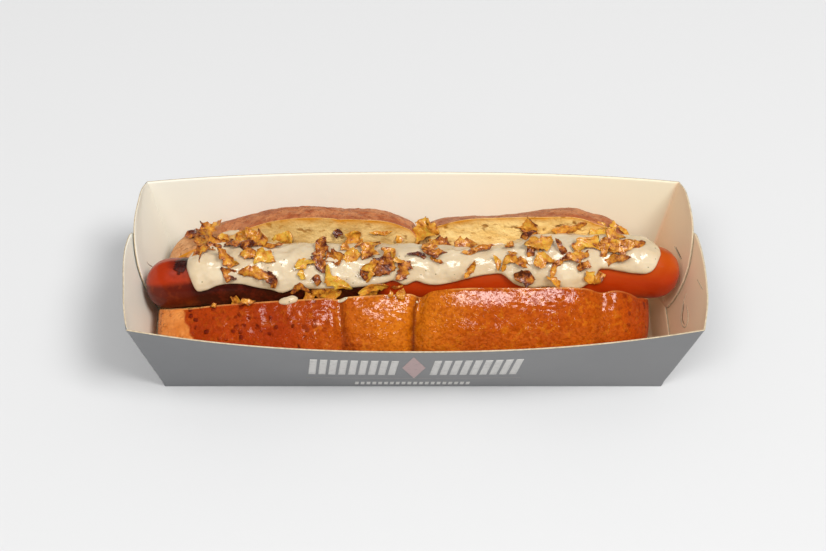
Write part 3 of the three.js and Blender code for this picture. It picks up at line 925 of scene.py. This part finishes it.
def make_bun():
    """Rings, then relief along the normals: soft lobes and blisters on the crust, open pores on the cut."""
    place = bun_rings()
    normal = grid_normals(place, wrap=True)
    if np.sum(normal * (place - [0, 0, 25])) < 0:
        normal = -normal
    column = np.arange(place.shape[1])
    is_crust = column < CRUST_POINTS
    from_edge = np.minimum(column, CRUST_POINTS - 1 - column) / 12.0
    soft = 0.5 * rough(place, 24, 11, 2)
    bumps = np.clip(noise(place, 2.6, 13) - 0.2, 0, 1) * step(place[..., 0], 40, -60)
    blisters = 0.3 * rough(place, 4.2, 12, 3) + 0.75 * bumps + 0.16 * np.abs(noise(place, 1.9, 15))
    crust_height = (soft + blisters) * step(from_edge, 0, 0.6)[None, :]
    pores = np.clip(rough(place * [0.7, 1, 1], 3.2, 21, 3) - 0.5, 0, 1)
    crumb_height = 0.3 * rough(place, 5, 23, 3) - 1.5 * pores
    depth_in = np.clip((column - CRUST_POINTS) / 6, 0, 1) * np.clip((place.shape[1] - column) / 4, 0, 1)
    height = np.where(is_crust[None, :], crust_height, crumb_height * depth_in[None, :])
    height = np.minimum(height, RELIEF_TOP)
    place = place + normal * height[..., None] * 0.9
    x, y, z = place[..., 0], place[..., 1], place[..., 2]
    torn_edge = TORN_FROM + TORN_SLANT * (SPLIT_FRONT - y) + 1.6 * rough(place, 5, 31, 2)
    torn = step(x, torn_edge + 0.5, torn_edge - 0.5) * step(y, -5, -12)
    torn = np.maximum(torn, step(x + 2 * rough(place, 6, 35, 2), -88, -96) * step(y, 0, 6))
    # The crease mark is painted shade: dark lines down the creases between the lobes
    forward = np.clip((-y - 5) / np.hypot(y + 5, z - LOAF_WAIST), -1, 1)
    stray = x - crease_shift(x, forward) - 0.5 * noise(place, 4, 33)
    crease = 0.9 * bell(stray - 3.5, 1.1) + 0.5 * bell(stray + 34, 1.2) + 0.25 * bell(stray - 84, 1.4)
    crease = np.clip(crease, 0, 1)
    rim = np.where(is_crust, 0, np.exp(-np.abs(column - CRUST_POINTS) / 4.5))
    rim = np.clip(rim * (1 + 0.7 * rough(place, 8, 43, 2)), 0, 1)
    faces = grid_faces(*place.shape[:2], wrap=True)
    kinds = (faces[:, 0] % place.shape[1] >= CRUST_POINTS - 1).astype(int)
    marks = {
        "torn": torn, "crease": crease, "rim": rim, "pores": pores,
        "front": step(y, 5, -10), "painted_shade_left_lobe": step(x, 10, 0),
        "golden": bell(x + 4 + 10 * rough(place, 20, 36, 2), 26),
        "bright": step(x + 14 * rough(place, 22, 37, 2), -60, -22) * (1 - 0.85 * step(x, 84, 101)),
        "lip": np.where(column < 3, 0.7, 0) * np.clip(0.6 + noise(place, 9, 39), 0, 1),
    }
    finishes = [glazed_crust(), crumb()]
    return make_piece("baked_bun", place, faces, finishes, "bun", kinds, marks)


# %% [markdown]
# The crust was brushed with egg before baking. Egg glaze dries to a thin clear film, so it is a coat over
# a brown rough base, and it wrinkles into ridges under a millimetre wide that break each highlight into
# sparkles. Blisters under it bake darkest. The crumb inside is a pale yellow sponge with fine pores.

# %% Bun finishes
def glazed_crust():
    """Egg-washed baked crust: brown base, clear wrinkled coat, dark blisters 1 to 3 mm across, painted
    shade in the creases.
    """
    f = Finish(
        "egg_glazed_crust", Roughness=0.55, IOR=1.4, Specular_IOR_Level=0.12,
        Coat_Weight=1.0, Coat_Roughness=0.08, Coat_IOR=1.5,
    )
    bright, front = f.mark("bright"), f.mark("front")
    broad = f.ramp(f.grain(26, 3), 0.35, 0.65)
    orange = f.blend(f.mark("golden"), f.blend(broad, "#AA4200", "#BA5400"), "#C86A06")
    base = f.blend(bright, f.blend(broad, "#922A00", "#A83A00"), orange)
    pitted = f.ramp(f.grain(0.8, 2, 0.6, 0.6), 0.4, 0.54)
    base = f.blend(f.times(f.inverse(pitted), 0.42), base, "#7C2600")
    light = f.ramp(f.grain(1.7, 4, 0.65, 0.4), 0.52, 0.64)
    base = f.blend(f.times(light, f.plus(f.times(bright, 0.26), 0.12)), base, "#D27C10")
    blister = f.ramp(f.plus(f.cells(3.4), f.ragged(1.5, 2, 0.55, 0.7)), 0.42, 0.16)
    blister = f.times(blister, f.ramp(f.grain(6, 2), 0.4, 0.52))
    blister = f.times(blister, f.inverse(bright))
    base = f.blend(f.times(blister, 0.9), base, "#641202")
    # Painted shade in the creases
    base = f.blend(f.mark("crease"), base, "#5E1A02")
    base = f.blend(f.mark("lip"), base, "#DD9A55")
    # The back crust is the same glazed crust seen at a grazing angle: its lighter, pinker tan is partly its
    # own brown and partly painted sheen
    back = f.blend(f.ramp(f.grain(3, 4, 0.6), 0.34, 0.68), "#CC8454", "#A85A34")
    specks = f.ramp(f.grain(0.9, 2, 0.6), 0.56, 0.63)
    back = f.blend(f.times(specks, 0.45), back, "#7A3A1A")
    base = f.blend(front, back, base)
    cloudy = f.ramp(f.grain(4, 3), 0.35, 0.65)
    pale = f.blend(front, f.blend(cloudy, "#D09A6A", "#B87C4C"), f.blend(cloudy, "#DB8A45", "#C56F2C"))
    f.link("Base Color", f.blend(f.mark("torn"), base, pale))
    glaze = f.plus(f.times(bright, 0.55), 0.45)
    glaze = f.times(glaze, f.math("MAXIMUM", front, 0.25))
    f.link("Coat Weight", f.times(glaze, f.plus(f.times(pitted, 0.8), 0.2)))
    # The coat's own relief is mild, so that each highlight sparkles and still holds together
    wrinkle = f.grain(1.3, 2, 0.6, 1.8)
    swell = f.grain(2.8, 3)
    f.relief([(swell, 1.0), (blister, 0.6), (wrinkle, 0.7)])
    f.relief([(swell, 0.13), (wrinkle, 0.13)], "Coat Normal")
    return f.material


CRUMB_STRETCH = (0.4, 1.0, 1.0)


def crumb():
    """Baked sponge: pale yellow, rough, golden where it meets the crust, with painted shade in its pores
    and over the left lobe.
    """
    f = Finish("brioche_crumb", Roughness=0.85, IOR=1.4, Specular_IOR_Level=0.2)
    along = add(f.tree, "Mapping", Vector=f.place, Scale=CRUMB_STRETCH).outputs[0]
    fine = f.ramp(f.grain(2.2, 5, 0.65, place=along), 0.38, 0.62)
    plain = f.blend(fine, "#F5D48C", "#E3B86A")
    # Painted shade: the crumb of the left lobe is painted darker
    base = f.blend(f.mark("painted_shade_left_lobe"), plain, f.blend(fine, "#DCBA7A", "#C39C5A"))
    base = f.blend(f.mark("torn"), base, "#D0925A")
    # Painted shade in the pores: fine dark flecks, and a darker colour where the pores are cut into the
    # mesh
    small = f.ramp(f.grain(0.8, 3, 0.6, place=along), 0.42, 0.34)
    base = f.blend(f.times(small, 0.7), base, "#B07C38")
    base = f.blend(f.ramp(f.mark("pores"), 0.02, 0.3), base, "#9C7038")
    base = f.blend(f.mark("rim"), base, "#C8801E")
    f.link("Base Color", base)
    f.relief([(f.grain(2.4, 3, place=along), 1.0), (f.grain(0.9, 4, 0.7), 0.6)])
    return f.material


bun = make_bun()

# %% [markdown]
# ## Sauce
# The sauce is thick enough to hold the shape it was squeezed in: a fat line over the sausage, with a
# rounded lip that hangs down in lobes at the front. It is a polar surface about the sausage: the angle
# runs from the front lip to the back one, and the thickness rises quickly from each lip.

# %% Sauce surface
SAUCE_LEFT, SAUCE_RIGHT = -103.2, 113.2
front_lip = through(
    [(-104, -20), (-101, -42), (-98, -58), (-94, -58), (-89, -50), (-79, -47), (-70, -56), (-64, -61),
     (-59.5, -67), (-55, -62), (-42, -61), (-28, -61), (-13, -53), (-9, -49), (-3.5, -58), (1.5, -51),
     (5.5, -57), (17, -56), (23, -50), (35, -41), (40, -41), (46, -61), (51, -68), (61, -67), (78, -67),
     (82, -54), (84, -38), (87, -35), (93, -39), (101, -45), (107, -44), (111, -32), (113, -14)]
)
back_lip = through(
    [(-106, 30), (-98, 70), (-60, 66), (-10, 62), (40, 58), (50, 84), (80, 86), (100, 76), (113, 30)]
)
front_thickness = through(
    [(-106, 2.6), (-98, 3.6), (-80, 3), (-60, 3.3), (-20, 3), (0, 2.8), (17, 3.6), (35, 2.8), (50, 3.8),
     (80, 3.8), (88, 3), (105, 3.2), (113, 2.6)]
)
back_thickness = through(
    [(-106, 2), (-98, 3.9), (-78, 5.2), (-52, 4.6), (-24, 4.2), (-6, 3), (12, 2.2), (30, 1.5), (41, 1.6),
     (47, 3.4), (54, 5.4), (68, 6), (86, 5), (97, 5), (106, 3.6), (113, 2)]
)


SAUCE_STATIONS, SAUCE_OUTER, SAUCE_INNER = 330, 130, 40
# The length in mm over which each end closes, and how round the lips are
CLOSING, LIP_POWER = 6, 4.5
# The depths in mm by which the sauce is sunk into the sausage and into the crumb
INTO_SAUSAGE, INTO_CRUMB = 1.2, 0.3


def make_sauce():
    """Radius = sausage + thickness(x, angle) * rounded lips + lumps. The inner side is sunk a little
    into the sausage, so the two touch all along the lip."""
    even = np.linspace(0, 1, SAUCE_STATIONS)
    crowded = 0.5 - 0.5 * np.cos(np.pi * even)
    x = mix(SAUCE_LEFT, SAUCE_RIGHT, mix(even, crowded, 0.35))[:, None]
    into = np.clip(np.minimum(x - SAUCE_LEFT, SAUCE_RIGHT - x) / CLOSING, 0, 1)
    closing = np.sqrt(into * (2 - into) + 1e-4)
    start, stop = front_lip(x) * closing, back_lip(x) * closing
    p = np.linspace(0, 1, SAUCE_OUTER)[None, :]
    p = 0.5 - 0.5 * np.cos(np.pi * p) * (0.35 + 0.65 * np.abs(np.cos(np.pi * p)))
    degrees = mix(start, stop, p)
    body = mix(front_thickness(x), back_thickness(x), step(degrees, -10, 42))
    lip = (1 - np.abs(2 * p - 1) ** LIP_POWER) ** (1 / LIP_POWER)
    flat = around_sausage(x, degrees, SAUSAGE_RADIUS + body)
    ridges = 0.5 - np.abs(noise(flat * [0.45, 1, 1], 6, 48))
    lumps = 0.7 * rough(flat * [0.7, 1, 1], 9, 41, 2) + 0.35 * rough(flat, 3.4, 44, 2) + 0.8 * ridges
    radius = SAUSAGE_RADIUS - 0.5 + (body + lumps * np.minimum(1, body / 3) + 0.5) * lip * closing
    outer = around_sausage(x, degrees, radius)
    inner_degrees = mix(stop, start, (np.arange(SAUCE_INNER)[None, :] + 1) / (SAUCE_INNER + 1))
    inner = around_sausage(x, inner_degrees, SAUSAGE_RADIUS - INTO_SAUSAGE)
    place = np.concatenate([outer, inner], axis=1)
    floor, top = cut_line(place[..., 0], True)
    share = (place[..., 2] - floor[..., 1]) / (top[..., 1] - floor[..., 1])
    crumb_y = floor[..., 0] + (top[..., 0] - floor[..., 0]) * share
    place[..., 1] = np.minimum(place[..., 1], crumb_y + INTO_CRUMB)
    for side in (0, -1):
        place[side] = place[side].mean(axis=0)
    return make_piece("herb_sauce", place, None, [cream_sauce()], "sauce_with_onion")


def cream_sauce():
    """Mayonnaise and sour cream with dill: an oil-in-water emulsion, so it is soft white all through,
    with a wet shine and specks of herb under a millimetre."""
    f = Finish(
        "herb_cream_sauce", Roughness=0.15, IOR=1.46,
        Subsurface_Weight=0.25, Subsurface_Scale=0.003, Subsurface_Radius=(1.0, 0.8, 0.5),
    )
    base = f.blend(f.ramp(f.grain(9, 3), 0.35, 0.65), "#CFB895", "#D9C7A8")
    some = f.math("GREATER_THAN", f.grain(5, 1), 0.5)
    speck = f.times(f.ramp(f.cells(3.2), 0.13, 0.08), some)
    f.link("Base Color", f.blend(f.times(speck, 0.75), base, "#6E6A4C"))
    f.relief([(f.grain(3.5, 3, 0.5), 0.6)])
    return f.material


sauce = make_sauce()

# %% Sauce dabs
DAB_LUMPS = 0.3
# Each dab: pixel x and y, length, width and height in mm, turn on the picture in degrees
DABS = [(288.5, 300.5, 8.6, 4.2, 1.8, 12), (343, 300, 5.4, 1.8, 0.6, 5), (229, 233.5, 11, 3.2, 1.0, -8),
        (417, 302, 1.6, 1.2, 0.6, 0), (350, 243, 3.0, 1.6, 0.5, 20), (497, 245, 7, 2.0, 0.5, 4)]


def surface_below(pieces, rays):
    """Where each camera ray first meets the pieces, and the normal there, in mm."""
    depsgraph = bpy.context.evaluated_depsgraph_get()
    trees = [BVHTree.FromObject(piece, depsgraph) for piece in pieces]
    origin = Vector(camera_place * MM)
    found = []
    for ray in rays:
        hits = [tree.ray_cast(origin, Vector(ray)) for tree in trees]
        hits = sorted((h for h in hits if h[0] is not None), key=lambda h: h[3])
        found.append((np.array(hits[0][0]) / MM, np.array(hits[0][1])))
    return (np.array(column) for column in zip(*found))


def lay(shapes, spots, normals, turns, lift):
    """Turns each shape so that its length runs along its direction on the picture, on the surface."""
    angle = np.radians(turns)[:, None]
    direction = np.cos(angle) * screen_right + np.sin(angle) * screen_up
    direction = unit(direction - np.sum(direction * normals, axis=1, keepdims=True) * normals)
    side = np.cross(normals, direction)
    axes = np.stack([direction, side, normals], axis=1)
    spots = spots + normals * lift[:, None]
    return np.einsum("fuvk,fkc->fuvc", shapes, axes) + spots[:, None, None]


def many(shapes):
    """The faces of several grids of (shape, along, around) that are closed at both tips."""
    count, along, around = shapes.shape[:3]
    shapes[:, [0, -1]] = shapes[:, [0, -1]].mean(axis=2, keepdims=True)
    one = grid_faces(along, around, wrap=True)
    return (one[None] + np.arange(count)[:, None, None] * along * around).reshape(-1, 4)


def make_dabs():
    """Small rounded drops: flattened balls, made uneven by noise."""
    px, py, length, width, height, turn = np.array(DABS, float).T
    spots, normals = surface_below([sausage, bun, sauce], [pixel_ray(x, y) for x, y in zip(px, py)])
    u = np.linspace(0, np.pi, 20)[None, :, None]
    v = round_angles(24)[None, None, :]
    size = np.stack([length, width, height * 2], 1)[:, None, None] / 2
    ball = together(np.cos(u), np.sin(u) * np.cos(v), np.sin(u) * np.sin(v))
    place = lay(ball * size, spots, normals, turn, 0 * px)
    place = place + DAB_LUMPS * np.stack([noise(place, 2.5, 70 + k) for k in range(3)], -1)
    faces = many(place)
    make_piece("sauce_dabs", place, faces, [sauce.data.materials[0]], "sauce_with_onion")


make_dabs()

# %% [markdown]
# ## Fried onion
# Each flake is a shred of onion that curled in the fryer inside a crumbly golden batter, so it is a
# lumpy ribbon, ragged at its edges. Its place is given by the pixel of the photograph where it shows:
# a ray from the camera finds what lies there, and the flake is laid on that surface along its normal.
# All flakes share one grid of points, so numpy bends and roughens them together.

# %% Flakes
# Above this height in mm a flake is pressed down, so that none stands higher than the CAD's
FLAKE_TOP = 58.6
# Each flake: pixel x and y, length and width in mm, turn on the picture in degrees, brownness, and its
# bend, left out where it is straight
FLAKES = [
    (217, 225, 6.5, 4, 45, 0.25), (195, 236, 9, 4.2, -8, 0.78), (219, 240, 21, 4.4, -32, 0.55, 0.03),
    (208, 233, 11, 5, -44, 0.45), (233, 246, 10, 4, -22, 0.8), (202, 253, 9, 6.2, 10, 0.6),
    (203, 243, 9, 4, -20, 0.6), (212, 247, 8, 4, 14, 0.75), (226, 239, 8, 3.4, -30, 0.36),
    (227, 260, 12.5, 4.6, -30, 0.45, 0.1), (245, 237, 8, 6, 30, 0.42), (247, 247, 8, 3.2, 25, 0.9),
    (258, 243, 9, 6.5, 12, 0.5), (271, 247, 12, 2.6, -15, 0.42), (284.5, 238.5, 9, 7.6, -25, 0.22),
    (265, 259, 9, 5.6, -32, 0.26), (249, 255.5, 8, 4, -10, 0.52), (257, 272, 14, 4, -14, 0.58, -0.1),
    (271.5, 279, 7.5, 3.8, -66, 0.74), (230.5, 277, 6.5, 4.6, 55, 0.72), (252, 233, 6, 3.4, -20, 0.4),
    (305, 263.5, 8.5, 4.4, 8, 0.14, -0.25), (302, 275, 4, 3.2, -30, 0.12), (321, 250, 11, 5.6, 80, 0.64),
    (320, 264, 9.5, 4.2, -34, 0.76), (335, 257, 9, 5.2, 14, 0.52), (353, 240, 10, 7.6, 62, 0.28),
    (360.5, 245, 6.5, 1.8, 60, 0.6), (352, 256, 8, 5, -5, 0.2), (334, 281, 14, 4.4, -46, 0.1, 0.2),
    (371, 252, 10.5, 6.4, 70, 0.5), (370, 270, 10, 5.4, 76, 0.3), (384, 265, 11.5, 6.4, 55, 0.68),
    (392, 257, 11, 4.8, -54, 0.42), (403, 271, 9.5, 5.2, 58, 0.7), (363, 275, 5.5, 2.4, -62, 0.88),
    (372, 285, 13, 3.8, 4, 0.34), (399, 262, 6, 3, -30, 0.35), (300, 287, 8, 3.4, 6, 0.74, -0.2),
    (311, 295, 10, 3.8, 44, 0.5), (330, 293, 8.5, 6.6, -68, 0.36), (320, 289, 8, 5.4, 12, 0.44),
    (316, 280, 5, 2.8, 78, 0.66), (369, 294, 8, 3.2, 36, 0.28), (397, 287, 5, 1.4, 10, 0.5),
    (390, 295, 3.4, 1.4, 70, 0.4), (401, 295, 4.2, 3.2, 0, 0.4), (337.5, 232.5, 4.6, 2.4, 5, 0.98),
    (381, 234, 10, 1.5, 3, 0.3, 0.05), (398, 240, 3.6, 2.6, -60, 0.42), (237.5, 301, 6.8, 4, 78, 0.42),
    (248, 304, 6.5, 2.8, 5, 0.5), (214, 306, 3, 1.6, 30, 0.6), (345, 249, 5, 3, -70, 0.35),
    (420, 255.5, 11, 1.8, -16, 0.9), (433, 256, 10, 3.2, -10, 0.76, 0.1), (437, 262, 7, 1.8, -30, 0.5),
    (425, 233, 12, 6.6, 66, 0.3), (434, 229, 6, 3.6, -42, 0.34), (440, 244, 9, 5.2, -15, 0.5),
    (430, 248, 7, 4, 60, 0.4), (466, 246, 10, 5.4, -5, 0.56), (479, 251, 12, 2.2, 22, 0.62),
    (487, 245.5, 9, 1.6, 8, 0.38), (471, 254, 8, 1.5, 12, 0.5), (469, 269, 10.5, 2.6, 62, 0.38),
    (527, 228, 8.5, 6, 80, 0.42), (529, 238, 7, 2.8, 8, 0.93), (569, 229, 15, 3.2, 9, 0.48, 0.05),
    (597, 232, 8.5, 6.2, 20, 0.08), (510, 247, 6.5, 2.2, 62, 0.4), (514, 256, 5.5, 2.2, -52, 0.5),
    (523, 262.5, 8.5, 2.8, -22, 0.55), (538, 247, 12, 7.4, 15, 0.3), (543, 261, 9.5, 5.6, 25, 0.36),
    (530, 252, 6, 3.6, 60, 0.62), (549, 242, 6, 3, 60, 0.45), (559.5, 250, 9.5, 2.6, -58, 0.74, 0.1),
    (557, 264.5, 7, 2.4, 42, 0.56), (551.5, 272, 5.5, 2.2, 85, 0.45), (555.5, 281, 7, 2.4, -48, 0.4),
    (497.5, 263, 7.5, 2, -72, 0.3), (509.5, 262, 6, 4, 0, 0.38), (505, 267, 4, 1.4, 70, 0.5),
    (524, 277, 8.5, 5, -8, 0.82), (585, 245, 12, 7, 55, 0.26), (577, 259, 12, 4.2, 25, 0.45),
    (583, 266, 6, 3.4, 60, 0.68), (598, 246, 7, 3.8, -20, 0.6), (589, 278, 6.8, 3.2, -56, 0.3),
    (597, 277, 6.2, 4.4, 35, 0.46), (614, 237, 9, 5.4, -30, 0.38), (621, 247, 12, 6.2, 20, 0.42),
    (632, 245, 11.5, 3, 12, 0.6), (611, 245, 9, 4.4, -60, 0.36), (616, 258, 12.5, 3.8, 5, 0.6),
    (622, 233, 8.5, 2.8, -25, 0.34), (612, 228, 6, 2.8, 60, 0.28), (605, 252, 6, 3, 40, 0.5),
]
FLAKES = np.array([row + (0,) * (7 - len(row)) for row in FLAKES])
FLAKE_RINGS, FLAKE_SIDES = 36, 24
# The spikes of a flake's edge: how many, how wide in mm, and how far out as shares of its half width
SPIKES, SPIKE_WIDTH, SPIKE_REACH = 6, 0.6, (0.05, 0.55)


def shreds(length, width, curl, bend, seed):
    """Crumpled shreds lying flat. Each is a thin oval carried along its length, u from -1 to 1, whose
    edge runs out in spikes. Folded noise creases it lengthwise, a twist turns it about its length, and
    an arc curls its ends. (flake, u, v, 3)"""
    u = np.linspace(-1, 1, FLAKE_RINGS)[None, :, None]
    v = round_angles(FLAKE_SIDES)[None, None, :]
    draw = np.random.default_rng(seed)
    one = (len(length), 1, 1)
    phase = draw.uniform(0, 40, (*one, 3))
    half, wide = length[:, None, None] / 2, width[:, None, None] / 2
    curl, bend = curl[:, None, None], bend[:, None, None]
    across, rise = np.cos(v), np.sin(v)
    spread = lambda *parts: together(*parts) + phase
    outline = 0.8 + 0.4 * noise(spread(u * half, across * 3, 0.0), 1.9, seed + 1)
    for _ in range(SPIKES):
        place, side = draw.uniform(-0.9, 0.9, one), draw.choice([-1, 1], one)
        size = draw.uniform(*SPIKE_REACH, one)
        outline = outline + size * np.exp(-np.abs(u - place) * half / SPIKE_WIDTH) * (across * side > 0)
    taper = (1 - np.abs(u) ** 2.4) ** draw.uniform(0.45, 0.95, one)
    x = u * half * (1 + 0.25 * noise(spread(u, across * wide, 5.0), 1.2, seed + 3))
    sway = 0.35 * wide * noise(spread(u * half, 0.0, 9.0), 4.0, seed + 4)
    y = across * wide * taper * outline
    here = spread(x * 0.45, y, 0.0)
    creases = 0.9 * (0.5 - np.abs(noise(here, 1.9, seed + 5)))
    creases = creases + 0.6 * (0.5 - np.abs(noise(here, 0.9, seed + 6)))
    buckle = 1.1 * noise(spread(x, y, 3.0), 4.0, seed + 7)
    grit = 0.16 * noise(spread(x, y, rise), 0.8, seed + 8)
    thick = (0.36 + 0.16 * noise(here, 1.6, seed + 9)) * (0.2 + 0.8 * taper)
    cup = draw.uniform(-0.3, 0.8, one)
    height = (creases + buckle + cup * across**2 * wide * 0.7) * (0.25 + 0.75 * taper) + rise * thick + grit
    twist = draw.uniform(-0.8, 0.8, one) * u
    y, height = y * np.cos(twist) - height * np.sin(twist), y * np.sin(twist) + height * np.cos(twist)
    y = y + sway + half * np.abs(bend) ** 0.5 * np.sign(bend) * u * u
    turn = u * curl / 2
    radius = 2 * half / np.maximum(np.abs(curl), 0.05) * np.sign(curl)
    bent_x = np.sin(turn) * (radius - height) + x - u * half
    bent_z = radius * (1 - np.cos(turn)) + np.cos(turn) * height
    return together(bent_x, y, bent_z)


def fried_crust():
    """Deep-fried onion in a flour crust: golden and translucent where thin, brown at edges and lumps,
    with a film of oil."""
    f = Finish(
        "fried_onion_crust", Roughness=0.42, IOR=1.46, Coat_Weight=0.5, Coat_Roughness=0.16,
        Subsurface_Weight=0.12, Subsurface_Scale=0.0015, Subsurface_Radius=(1.0, 0.5, 0.1),
    )
    tone = f.plus(f.mark("tone"), f.ragged(1.3, 4, 0.7, 2.2))
    colours = add(f.tree, "ValToRGB", Fac=tone)
    stops = [(0.0, "#D8AA3A"), (0.25, "#D6942C"), (0.5, "#C47A22"), (0.75, "#944A16"), (1.0, "#4E1B08")]
    elements = colours.color_ramp.elements
    while len(elements) < len(stops):
        elements.new(0.5)
    for element, (at, code) in zip(elements, stops):
        element.position = at
        element.color = linear(code)
    f.link("Base Color", colours.outputs[0])
    f.relief([(f.grain(0.8, 3, 0.65), 0.6)])
    return f.material


# How far a flake's normal strays at random, and how far it turns towards the camera
STRAY, FACING = 0.24, 0.6
# The listed sizes are those of the flat shred, which its curl and its ragged edge make look smaller
LONGER, WIDER = 1.12, 1.36
# The span in mm over which what stands too high is pressed
PRESSED = 1.5


def make_onion():
    """The flakes of the list, each with its own curl, laid on what carries it, as one mesh. The tone
    runs from yellow at 0 to dark brown at 1, and every shred is browner along its thin edges."""
    px, py, length, width, turn, tone, bend = FLAKES.T
    rays = [pixel_ray(x, y) for x, y in zip(px, py)]
    spots, normals = surface_below([sausage, bun, sauce], rays)
    draw = np.random.default_rng(5)
    normals = unit(normals + draw.normal(0, STRAY, normals.shape) + FACING * view_back)
    curl = draw.uniform(0.3, 1.3, len(px)) * np.where(draw.random(len(px)) < 0.75, 1, -1)
    bend = bend + draw.uniform(-0.1, 0.1, len(px))
    shapes = shreds(length * LONGER, width * WIDER, curl, bend, 60)
    lift = 0.5 + 0.1 * (curl < 0) * length + 0.07 * np.maximum(length - 9, 0)
    place = lay(shapes, spots, normals, turn, lift)
    high = place[..., 2] - FLAKE_TOP
    place[..., 2] = np.where(high > 0, FLAKE_TOP + PRESSED * np.tanh(high / PRESSED), place[..., 2])
    rim = np.abs(np.cos(round_angles(FLAKE_SIDES)))[None, None, :] ** 4
    rim = np.maximum(rim, np.abs(np.linspace(-1, 1, FLAKE_RINGS))[None, :, None] ** 6)
    tone = tone[:, None, None] - 0.03 + 0.2 * rim + 0.22 * noise(place, 2.8, 90)
    faces, marks = many(place), {"tone": tone}
    make_piece("fried_onion", place, faces, [fried_crust()], "sauce_with_onion", None, marks)


make_onion()

# %% [markdown]
# ## Floor and light
# The photograph was taken on a plain white table in broad soft light. A wide soft box high on the right
# throws the narrow shadow to the left, a second one in front lights the grey wall and the crust, and the
# white room fills the rest. Two small lamps are seen only in reflections: they put the gloss on the
# shoulders of the crust and the bright spots on the sauce.

# %% Stage
# Half the table's width, and the point that the lamps face, in metres
TABLE = 3.0
AIM = Vector((0, 0, 0.03))


def make_floor_plane():
    """A plain pale table top, far larger than the picture."""
    f = Finish("matt_white_table", Roughness=0.7, IOR=1.45, Base_Color=linear("#D8D8D8"))
    mesh = bpy.data.meshes.new("table")
    corners = [(-TABLE, -TABLE, 0), (TABLE, -TABLE, 0), (TABLE, TABLE, 0), (-TABLE, TABLE, 0)]
    mesh.from_pydata(corners, [], [(0, 1, 2, 3)])
    mesh.materials.append(f.material)
    table = bpy.data.objects.new("table", mesh)
    bpy.context.scene.collection.objects.link(table)


def soft_box(name, place, size, power, mirrored):
    """A square soft light that faces the food. The wide ones light it and are not mirrored. The small
    ones are only mirrored, as the bright middles of the wide ones that glaze and sauce pick out."""
    light = bpy.data.lights.new(name, "AREA")
    light.shape = "SQUARE"
    light.size = size
    light.energy = power
    lamp = bpy.data.objects.new(name, light)
    bpy.context.scene.collection.objects.link(lamp)
    lamp.location = place
    lamp.visible_glossy = mirrored
    lamp.visible_diffuse = not mirrored
    lamp.rotation_euler = (AIM - Vector(place)).to_track_quat("-Z", "Y").to_euler()


make_floor_plane()
soft_box("right_key", (1.7, -1.1, 3.15), 1.3, 98, mirrored=False)
soft_box("front_key", (-0.9, -1.6, 2.8), 1.2, 46, mirrored=False)
soft_box("front_shine", (-0.05, -1.1, 1.05), 0.14, 0.8, mirrored=True)
soft_box("overhead_shine", (0.1, 0.0, 1.3), 0.54, 11.5, mirrored=True)

# The room counts in full as soft light and less as a reflection, for beyond the lamps it is dim
ROOM_LIGHT, ROOM_MIRRORED = 0.38, 0.05
world = bpy.data.worlds.new("white_room")
bpy.context.scene.world = world
world.use_nodes = True
room = world.node_tree
background = room.nodes["Background"]
mirrored = add(room, "LightPath").outputs["Is Glossy Ray"]
strength = add(room, "Mix", {"data_type": "FLOAT"}, i0=mirrored, i2=ROOM_LIGHT, i3=ROOM_MIRRORED)
white = add(room, "RGB").outputs[0]
white.default_value = linear("#FFFFFF")
room.links.new(white, background.inputs["Color"])
room.links.new(strength.outputs[0], background.inputs["Strength"])

bpy.context.scene.view_settings.view_transform = "Standard"
